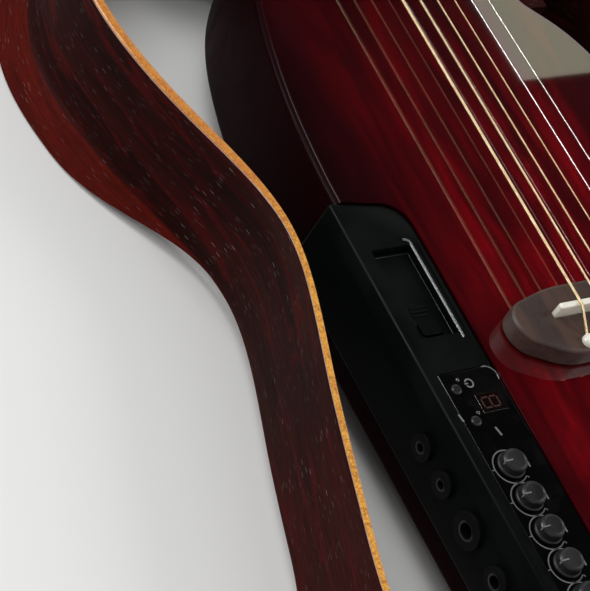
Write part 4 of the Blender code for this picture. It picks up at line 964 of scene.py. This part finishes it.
boardShape = {
    "scale": 634.0, "frets": 20, "lip": 3.2, "nutWidth": 43.0, "endWidth": 55.0, "low": 65.7, "top": 71.3,
    "fretWidth": 2.4, "fretHeight": 1.1, "dotRadius": 3.0, "sideDotRadius": 1.1, "sideDotDrop": 2.6, "doubleDot": 12,
    "doubleHalf": 11.0, "dots": (3, 5, 7, 9, 12, 15, 17, 19),
}


def fretY(number):
    return boardShape["scale"] * 2 ** (-number / 12)


boardEnd = fretY(boardShape["frets"]) - boardShape["lip"]


def boardHalf(y):
    b = boardShape
    share = (y - boardEnd) / (b["scale"] - boardEnd)
    return (b["endWidth"] + (b["nutWidth"] - b["endWidth"]) * share) / 2


def makeBoard():
    b = boardShape
    nutY, low, high = b["scale"] - 0.3, b["endWidth"] / 2, b["nutWidth"] / 2
    outline = ((-low, boardEnd), (low, boardEnd), (high, nutY), (-high, nutY))
    finishPiece(slab("finger_board", outline, b["low"], b["top"], 0.0, 0.35), "board", "fingerboard", True)
    w, h = b["fretWidth"] / 2, b["fretHeight"]
    crown = [(w * math.cos(a), h * math.sin(a)) for a in np.linspace(0, math.pi, 9)]
    across = Matrix(((0, 0, 1, 0), (1, 0, 0, 0), (0, 1, 0, 0), (0, 0, 0, 1)))
    wires = []
    for number in range(1, b["frets"] + 1):
        y = fretY(number)
        half = boardHalf(y) - 0.25
        wires.append(moved(slab(f"fret_{number}", crown, -half, half), at(0, y, b["top"]) @ across))
        roundEdges(wires[-1], 0.3, 2, 60)
    finishPiece(joinUp("fret_wires", wires), "fret", "truss_rod", angle=60)
    dots = []
    r, q = b["dotRadius"], b["sideDotRadius"]
    for number in b["dots"]:
        y = (fretY(number) + fretY(number - 1)) / 2
        for x in (-b["doubleHalf"], b["doubleHalf"]) if number == b["doubleDot"] else (0.0,):
            dot = lathed(f"dot_{number}_{x:.0f}", ((r, -0.5), (r, 0.0), (r - 0.1, 0.05)), 28)
            dots.append(moved(dot, at(x, y, b["top"])))
        side = lathed(f"side_dot_{number}", ((q, -0.5), (q, 0.06), (q * 0.5, 0.12)), 16)
        dots.append(moved(side, at(-boardHalf(y), y, b["top"] - b["sideDotDrop"]) @ alongMinusX))
    finishPiece(joinUp("board_dots", dots), "pearl", "nut")


tunerShape = {
    "first": 38.0, "pitch": 38.0, "x": 21.0, "face": 2.1, "nutRadius": 5.2, "washerRadius": 6.4, "back": -14.3,
    "keyReach": 25.5, "keyHalf": 9.0, "keyThick": 3.7, "wormY": 5.8, "wormZ": -19.0, "housing": (19.0, 18.0, 9.4),
    "wormRadius": 1.5, "screwInset": 3.0, "screwBehind": 9.5,
    "stem": ((2.5, 4.6), (2.5, 3.6), (1.9, 3.0), (1.9, 1.6), (3.1, 0.4), (3.1, -1.0)), "stemEnd": 5.5,
    "button": ((3.0, 0.0), (4.6, 0.5), (6.9, 2.2), (8.2, 4.8), (9.0, 8.0), (9.0, 10.4), (8.3, 12.8), (6.6, 14.8),
               (4.0, 15.8), (1.5, 16.0)), "thinFrom": 9.0, "thinRun": 7.0, "thinned": 0.22,
}


# the washer with its six-sided collar, and the key: a stem and a flattened button
def tunerPatterns():
    t = tunerShape
    r, n, reach, worm = t["washerRadius"], t["nutRadius"], t["keyReach"], t["wormRadius"]
    washer = lathed("washer_pattern", ((r, 0.0), (r, 0.5), (r - 0.6, 0.9)), 40)
    collar = lathed("collar_pattern", ((n, 0.8), (n, 1.9), (n - 0.7, 2.3)), 6)
    roundEdges(collar, 0.25, 2, 40)
    button = lathed("button_pattern", t["button"], 36)
    for corner in button.data.vertices:
        thinned = t["thinned"] * ease((corner.co.z / mm - t["thinFrom"]) / t["thinRun"])
        corner.co.y *= t["keyThick"] / t["keyHalf"] * (1.0 - thinned)
    stem = lathed("stem_pattern", ((worm, 3.0 - t["housing"][0] / 2), (worm, reach - t["stemEnd"]),
                                   *((radius, reach - short) for radius, short in t["stem"])), 24)
    return joinUp("bush_pattern", [washer, collar]), joinUp("key_pattern", [stem, moved(button, at(0, 0, reach))])


def makeTuners():
    t = tunerShape
    bush, key = tunerPatterns()
    for step in range(3):
        along = t["first"] + step * t["pitch"]
        for number, side in ((6 - step, -1), (1 + step, 1)):
            x, node = side * t["x"], f"tuner_housing_{number}"
            bushPlace = toHead @ at(x, along, t["face"]) @ Matrix.Rotation(number, 4, "Z")
            finishPiece(duplicate(bush, f"tuner_bush_{number}", bushPlace), "chrome", node, angle=40)
            keyPlace = toHead @ at(x, along + t["wormY"], t["wormZ"]) @ (alongX if side > 0 else alongMinusX)
            finishPiece(duplicate(key, f"turning_key_{number}", keyPlace), "chrome", f"tuner_key_{number}", True, 50)
            copyOfNode(f"tuner_post_{number}", "chrome", 0.15)
            copyOfNode(node, "chrome", 0.5, 3)
            spots = ((x, along, t["back"] - t["housing"][2]),
                     (x - side * t["screwInset"], along - t["screwBehind"], t["back"] + 0.2))
            putScrews(f"tuner_screws_{number}", [toHead @ at(*spot) @ faceDown for spot in spots], 0.75, node)
    discard(bush, key)


def makeNeck():
    copyOfNode("neck", "mahogany", angle=45)
    copyOfNode("head_veneer", "head", 0.4)
    copyOfNode("truss_cover", "panel", 0.25)
    spots = ((-5.5, 6.2), (5.5, 6.2), (0.0, 24.5))
    putScrews("truss_cover_screws", [toHead @ at(x, y, 4.2) for x, y in spots], 0.55, "truss_cover")
    copyOfNode("truss_rod", "steel", 0.2)
    copyOfNode("nut", "bone", 0.4)
    makeBoard()
    makeTuners()


makeNeck()
print("neck made")

# The bridge and the strings

bridgeShape = {
    "half": 56.0, "front": 14.0, "back": 20.0, "tipHalf": 8.0, "low": 58.3, "top": 69.3, "corner": 7.0, "edge": 1.8,
    "slotHalf": (36.3, 1.8), "slotFloor": 64.3, "saddleSpread": 52.0, "pinY": -15.6, "pinRadius": 3.3,
}


def makeBridge():
    b = bridgeShape
    h, tip, top, (slotX, slotY) = b["half"], b["tipHalf"], b["top"], b["slotHalf"]
    outline = ((-h, -tip), (-h * 0.62, -b["back"]), (h * 0.62, -b["back"]), (h, -tip),
               (h, tip), (h * 0.55, b["front"]), (-h * 0.55, b["front"]), (-h, tip))
    bridge = slab("rosewood_bridge", outline, b["low"], top, b["corner"])
    roundEdges(bridge, b["edge"], 4, 50)
    carve(bridge, block("slot", (-slotX, -slotY, b["slotFloor"]), (slotX, slotY, top + 5)))
    finishPiece(bridge, "board", "bridge", True, 40)
    copyOfNode("saddle", "bone", 0.9, 3)
    copyOfNode("saddle_pickup", "brass", 0.1)
    r = b["pinRadius"]
    pin = lathed("pin_pattern", ((r, -0.5), (r, 0.9), (r * 0.92, 1.9), (r * 0.7, 2.8), (r * 0.35, 3.3)), 32)
    eye = lathed("eye_pattern", ((1.1, 2.8), (1.1, 3.45), (0.8, 3.6)), 20)
    spots = [at((2.5 - k) / 5 * b["saddleSpread"], b["pinY"], top) for k in range(6)]
    rows = (("bridge_pins", pin, "bone", "saddle"), ("bridge_pin_eyes", eye, "panel", "bridge"))
    for name, pattern, skin, node in rows:
        made = [duplicate(pattern, f"{name}_{k}", spot) for k, spot in enumerate(spots)]
        finishPiece(joinUp(name, made), skin, node, angle=40)
    discard(pin, eye)


makeBridge()
for number in range(1, 7):
    copyOfNode(f"string_{number}", "wound" if number > 2 else "plain", angle=70)
print("bridge and strings made")


# The thumb screws that lock the bass frame

def makeLocks():
    k = lockShape
    r, z, end = k["radius"], k["start"], k["start"] + k["thick"]
    long, wide, deep = k["slot"]
    for node, place in k["places"].items():
        screw = lathed(node + "_thumb", (
            (k["shank"], k["reach"]), (k["shank"], z), (r - 0.8, z), (r, z + 0.8), (r, z + 1.0), (r, end - 1.6),
            (r, end - 1.4), (r - 0.9, end - 0.5), (r - 1.6, end - 0.3), (r - 2.2, end - 0.9), (r - 5.5, end - 0.9),
        ), k["ridges"])
        knurl(screw, z + 0.9, end - 1.5, k["ridges"])
        carve(screw, block("coin_slot", (-long, -wide, end - deep), (long, wide, end + 1)))
        finishPiece(moved(screw, at(*place) @ alongMinusX), "chrome", node, True, 30)


makeLocks()
print("lock screws made")

# The control housing, its door and its sockets

housingShape = {
    "top": 57.2, "grooveHalf": 0.35, "grooveX": -72.0, "groove": (9.0, 49.5), "grooveDepth": 0.5, "doorX": -85.6,
    "doorHalf": 10.2, "doorNeck": 51.2, "doorTail": 7.2, "doorTop": 53.9, "beadRadius": 0.65, "beadGap": 0.15,
    "beadSink": 0.25, "beadCorner": (3.0, 1.2, 2.4), "beadPast": 3.0, "panelCorner": (-68.9, -10.8, 5.0),
    "glint": (100, -25, 16), "glintRadius": 0.32, "glintSink": 0.1,
}


# a round bead along a smooth line
def beadAlong(name, points, radius):
    line = bpy.data.curves.new(name, "CURVE")
    line.dimensions = "3D"
    line.bevel_depth = radius * mm
    line.bevel_resolution = 4
    line.use_fill_caps = True
    spline = line.splines.new("POLY")
    spline.points.add(len(points) - 1)
    for slot, point in zip(spline.points, points):
        slot.co = (*(value * mm for value in point), 1.0)
    activate(newObject(name, line))
    bpy.ops.object.convert(target="MESH")
    return bpy.context.object


# a housing part from its node, with a line cut across it
def grooved(node, name, low, high, rounding, segments):
    piece = copyOfNode(node, "black")
    carve(piece, block(name, low, high))
    roundEdges(piece, rounding, segments)
    smoothUp(piece)


def makeHousing():
    h = housingShape
    x, half, top, (tail, neck) = h["grooveX"], h["grooveHalf"], h["top"], h["groove"]
    grooved("control_housing", "groove", (x - half, tail, top - h["grooveDepth"]), (x + half, neck, top + 1), 0.3, 3)
    inner, z = h["doorX"] + h["doorHalf"] + h["beadRadius"] + h["beadGap"], top - h["beadSink"]
    wide, above, long = h["beadCorner"]
    line = [(inner - wide + wide * math.sin(a), h["doorNeck"] + above + long * math.cos(a), z)
            for a in np.linspace(0, math.pi / 2, 8)]
    line.append((inner, h["doorTail"] - h["beadPast"], z))
    # painted highlight: a pale grey bead along the door recess's inner edge
    finishPiece(beadAlong("recess_glint_bead", line, h["beadRadius"]), "bead", "control_housing", angle=60)
    x, y, r = h["panelCorner"]
    corner = [(u, v, top - h["glintSink"]) for u, v in arc((x - r, y - r), r, *h["glint"])]
    # painted highlight: a pale grey bead round the panel's rounded corner
    finishPiece(beadAlong("panel_corner_glint_bead", corner, h["glintRadius"]), "bead", "control_panel", angle=60)


doorShape = {
    "seam": (6.2, 25.4, 25.9), "seamDepth": 0.35, "tab": (9.0, 6.5, 0.9), "tabSink": 0.4, "tabShift": -1.0,
    "tabY": 12.6, "ridges": (19.4, 21.4, 23.4), "ridgeHalf": 4.2, "ridgeRadius": 0.45, "rimRadius": 0.3,
    "rimInset": (0.5, 1.4, 0.8, 0.1),
}


def makeDoor():
    h, d = housingShape, doorShape
    top, doorX = h["doorTop"], h["doorX"]
    half, tail, neck = d["seam"]
    low = top - d["seamDepth"]
    grooved("battery_door", "seam", (doorX - half, tail, low), (doorX + half, neck, top + 1), 0.25, 2)
    wide, long, tall = d["tab"]
    x, y = doorX + d["tabShift"], d["tabY"]
    outline = [(x + i * wide / 2, y + j * long / 2) for i, j in ((-1, -1), (1, -1), (1, 1), (-1, 1))]
    pieces = [slab("door_catch", outline, top - d["tabSink"], top + tall, 1.2, 0.3)]
    for k, ridge in enumerate(d["ridges"]):
        ends = [(x + i * d["ridgeHalf"], ridge, top) for i in (-1, 1)]
        pieces.append(beadAlong(f"grip_{k}", ends, d["ridgeRadius"]))
    finishPiece(joinUp("door_catch", pieces), "black", "battery_door", angle=40)
    side, neckEnd, tailEnd, sink = d["rimInset"]
    left, right = doorX - h["doorHalf"] + side, doorX + h["doorHalf"] - side
    neck, tail = h["doorNeck"] - neckEnd, h["doorTail"] + tailEnd
    rim = ((left, tail), (left, neck - 1.0), (left + 0.3, neck - 0.3), (left + 1.0, neck), (right, neck),
           (right, tail))
    rim = beadAlong("door_rim", [(x, y, top - sink) for x, y in rim], d["rimRadius"])
    finishPiece(rim, "button", "battery_door", angle=60)


jackShape = {
    "x": -103.5, "z": 35.2, "rimZ": 1.95,
    "rings": (("phones_jack", -30.0, 1.8), ("aux_jack", -48.0, 1.8), ("line_jack", -70.0, 3.4),
              ("power_inlet", -94.0, 2.7)),
}


def makeJacks():
    j, z = jackShape, jackShape["rimZ"]
    for node, y, r in j["rings"]:
        copyOfNode(node, "jack", 0.25, 3)
        profile = ((r + 0.15, z - 0.35), (r + 1.1, z - 0.35), (r + 1.1, z), (r + 0.5, z + 0.15))
        ring = lathed(node + "_ring", profile, 40)
        bore(ring, r + 0.15, -3.0, 5.0, 40)
        finishPiece(moved(ring, at(j["x"], y, j["z"]) @ alongMinusX), "ring", node, angle=40)


makeHousing()
makeDoor()
makeJacks()
copyOfNode("circuit_board", "circuit")
copyOfNode("battery_contact", "steel", 0.1)
for number in (1, 2):
    copyOfNode(f"battery_{number}", "cell", 0.3)
print("control housing made")

# The control panel: knobs, buttons, display and printed marks

panelShape = {
    "top": 57.2, "knobX": -88.0, "knobFirst": -57.0, "knobPitch": 15.5, "knobRadius": 6.2, "knobHeight": 5.6,
    "knobs": ("volume_knob", "treble_knob", "bass_knob", "effect_knob", "blend_knob"), "ridges": 40,
    "ringSymbol": (-84.9, -17.0), "lamps": ((-89.5, -14.5), (-88.5, -30.8)), "dialRadius": 7.7, "markHeight": 0.05,
    "dashes": (((-98.3, -29.8), (-97.6, -33.4)), ((-84.3, -38.6), (-83.3, -42.8))), "tick": (8.0, 9.1),
    "name": (9.6, 2.0), "display": (-79.3, -27.0), "displayTop": 57.0, "digit": (4.1, 2.4), "digitGap": 0.45,
}


# a thin printed stroke along a path
def ribbon(name, path, width, low, high):
    path = np.array(path, float)
    ahead = unit(np.gradient(path, axis=0))
    beside = np.stack([-ahead[:, 1], ahead[:, 0]], axis=1) * width / 2
    return slab(name, [*map(tuple, path + beside), *map(tuple, (path - beside)[::-1])], low, high)


def makeMarks():
    p = panelShape
    x, y = p["ringSymbol"]
    strokes = [("ring", arc((x, y), 1.9, 205, 515, 30), 0.7), ("bar", ((x - 0.6, y), (x - 2.4, y)), 0.6)]
    strokes += [(f"dash_{k}", dash, 1.0) for k, dash in enumerate(p["dashes"])]
    for k in range(len(p["knobs"])):
        x, y = p["knobX"], p["knobFirst"] - k * p["knobPitch"]
        strokes.append((f"dial_{k}", arc((x, y), p["dialRadius"], 45, 315, 40), 0.55))
        strokes += [(f"tick_{k}_{a}", [arc((x, y), r, a, a, 1)[0] for r in p["tick"]], 0.5) for a in (45, 180, 315)]
        away, half = p["name"]
        strokes.append((f"name_{k}", ((x + away, y + half), (x + away, y - half)), 0.8))
    low, high = p["top"] - p["markHeight"], p["top"] + p["markHeight"]
    made = [ribbon("mark_" + name, path, width, low, high) for name, path, width in strokes]
    finishPiece(joinUp("panel_marks", made), "mark", "control_panel")
    dome = ((0.9, -0.4), (0.9, 0.0), (0.75, 0.2), (0.35, 0.32))
    lamps = [moved(lathed(f"lamp_{k}", dome, 20), at(*place, p["top"])) for k, place in enumerate(p["lamps"])]
    finishPiece(joinUp("panel_lamps", lamps), "lamp", "control_panel", angle=50)


# a dim seven-bar digit, read from the bass side
def makeDisplay():
    p = panelShape
    copyOfNode("tuner_display", "window", 0.15)
    (x, y), (tall, wide), low = p["display"], p["digit"], p["displayTop"] - 0.03
    bars = [((k, side), (k + 1, side)) for side in (1, -1) for k in (-1, 0)]
    bars += [((k, 1), (k, -1)) for k in (-1, 0, 1)]
    strokes = []
    for k, bar in enumerate(bars):
        start, end = (Vector((x + i * tall, y + j * wide)) for i, j in bar)
        inset = (end - start).normalized() * p["digitGap"]
        strokes.append(ribbon(f"digit_{k}", ((start + inset)[:], (end - inset)[:]), 0.75, low, low + 0.07))
    finishPiece(joinUp("display_digit", strokes), "digit", "tuner_display")


def makeKnobs():
    p = panelShape
    r, low = p["knobRadius"], p["top"] + 0.6
    high, sides = low + p["knobHeight"], p["ridges"] * 2
    knob = lathed("knob_pattern", (
        (2.5, 51.5), (2.5, low), (r - 0.2, low), (r, low + 0.2), (r, low + 1.0), (r - 0.35, low + 1.25),
        (r - 0.4, low + 1.4), (r - 0.7, low + 3.9), (r - 0.75, low + 4.1), (r - 1.0, low + 4.9),
        (r - 1.5, high - 0.15), (r - 1.9, high), (r - 2.4, high - 0.35), (r - 5.0, high - 0.45)), sides)
    knurl(knob, low + 1.35, low + 4.0, sides)
    line = block("line_pattern", (-r + 0.55, -0.3, low + 3.2), (-2.2, 0.3, high + 0.06))
    for k, node in enumerate(p["knobs"]):
        spot = at(p["knobX"], p["knobFirst"] - k * p["knobPitch"], 0)
        finishPiece(duplicate(knob, node + "_cap", spot), "knob", node, True, 30)
        finishPiece(duplicate(line, node + "_line", spot), "mark", node)
    discard(knob, line)


copyOfNode("control_panel", "panel", 0.15)
for node in ("power_button", "tuner_button"):
    copyOfNode(node, "button", 0.3, 3, 25)
makeMarks()
makeDisplay()
makeKnobs()
discard(screwPattern)
print("control panel made")

# Floor, light and camera

studio = {
    "floorSize": 12.0, "floorColour": (0.8, 0.8, 0.79), "skySeen": 0.85, "skyForDiffuse": 0.5,
    "lamps": (
        ("key softbox", (-0.9, 1.5, 2.4), (1.4, 1.4), 34.0), ("rim softbox", (1.6, -0.4, 1.5), (0.9, 0.9), 12.0),
        ("strip softbox", (-1.65, 0.78, 1.23), (0.09, 1.3), 8.5),
        ("low softbox", (-1.5, 0.93, 0.135), (1.0, 0.05), 22.0)), "glossOnly": "low softbox",
    "flags": (((0.9, 1.0, 1.7), 3.2, (0, 0, 0)), ((-2.2, 0.4, 0.6), 2.6, (0, 90, 0))),
    "flagColour": (0.004, 0.004, 0.004), "cardSpan": ((1.76, 1.25), (2.5, 2.6)), "cardHeight": 1.66,
    "cardColour": (0.95, 1.0, 0.58), "cardStrength": 0.68, "cardRim": 0.035, "cardRimColour": (1.0, 0.95, 0.85),
    "camera": (-0.75375, -0.38469, 0.78841), "cameraTurn": (39.508, -24.519, -28.636), "lens": 159.18, "sensor": 36.0,
}


# a flat sheet of the studio; some are seen by the gloss alone
def addSheet(name, place, size, finish, turn=(0, 0, 0), glossOnly=True):
    deselectAll()
    bpy.ops.mesh.primitive_plane_add(size=1, location=place, rotation=[math.radians(v) for v in turn])
    sheet = bpy.context.object
    sheet.name = name
    sheet.scale = (*size, 1)
    settle(sheet)
    skins[name] = finish
    paint(sheet, name)
    if glossOnly:
        sheet.visible_camera = sheet.visible_diffuse = sheet.visible_shadow = sheet.visible_transmission = False


def makeFloor():
    skin, shader = startSkin("studio floor", 0.9, specular=0.1)
    colour = studio["floorColour"]
    feed(shader, {"Base Color": drift(inPlace(shader), 3.0, 2.0, colour, toned(colour, 0.985, 0.0))})
    addSheet("studio_floor", (0, 0, cadLow[2] - 0.0004), [studio["floorSize"]] * 2, skin, glossOnly=False)


def makeWorld():
    world = bpy.data.worlds.new("studio")
    world.use_nodes = True
    bpy.context.scene.world = world
    tree = world.node_tree
    path = tree.nodes.new("ShaderNodeLightPath").outputs
    seen = maths("MAXIMUM", path["Is Camera Ray"], path["Is Glossy Ray"])
    seen = maths("MAXIMUM", seen, path["Is Transmission Ray"])
    low, high = studio["skyForDiffuse"], studio["skySeen"]
    feed(tree.nodes["Background"], {"Strength": maths("ADD", times(seen, high - low), low),
                                    "Color": (1.0, 1.0, 1.0, 1.0)})


# an area light aimed at the origin
def addSoftbox(name, place, size, power):
    deselectAll()
    bpy.ops.object.light_add(type="AREA", location=place)
    lamp = bpy.context.object
    lamp.name = name
    lamp.data.shape = "RECTANGLE"
    lamp.data.size, lamp.data.size_y = size
    lamp.data.energy = power
    lamp.visible_diffuse = name != studio["glossOnly"]
    lamp.rotation_euler = Vector(place).to_track_quat("Z", "Y").to_euler()


# dark cards, as a photographer sets round a shiny thing
def addFlags():
    skin, shader = startSkin("flag cloth", 1.0, specular=0.0)
    colour = studio["flagColour"]
    weave = noise(inPlace(shader), 40.0, 2.0)
    feed(shader, {"Base Color": blendColour(weave, colour, toned(colour, 1.4, 0.0))})
    for number, (place, size, turn) in enumerate(studio["flags"], 1):
        addSheet(f"flag_{number}", place, (size, size), skin, turn)


# the front of a softbox, with a paler rim
def addCard():
    skin, shader = startSkin("softbox cloth", 0.9)
    (lowX, lowY), (highX, highY) = studio["cardSpan"]
    rim = spread(axes(inPlace(shader))["X"], lowX, lowX + studio["cardRim"], 1.0, 0.0)
    feed(shader, {"Emission Color": blendColour(rim, studio["cardColour"], studio["cardRimColour"]),
                  "Emission Strength": studio["cardStrength"]})
    middle = ((lowX + highX) / 2, (lowY + highY) / 2, studio["cardHeight"])
    addSheet("softbox_card", middle, (highX - lowX, highY - lowY), skin)


# where the photograph was taken from, looking down over the bass side
def makeCamera():
    deselectAll()
    bpy.ops.object.camera_add(location=studio["camera"], rotation=[math.radians(v) for v in studio["cameraTurn"]])
    camera = bpy.context.object
    bpy.context.scene.camera = camera
    camera.data.sensor_fit = "HORIZONTAL"
    camera.data.sensor_width = studio["sensor"]
    camera.data.lens = studio["lens"]
    camera.data.clip_start, camera.data.clip_end = 0.01, 50.0


makeFloor()
makeWorld()
for row in studio["lamps"]:
    addSoftbox(*row)
addFlags()
addCard()
makeCamera()
bpy.context.scene.view_settings.view_transform = "Standard"
print("studio made")

bpy.context.view_layer.update()
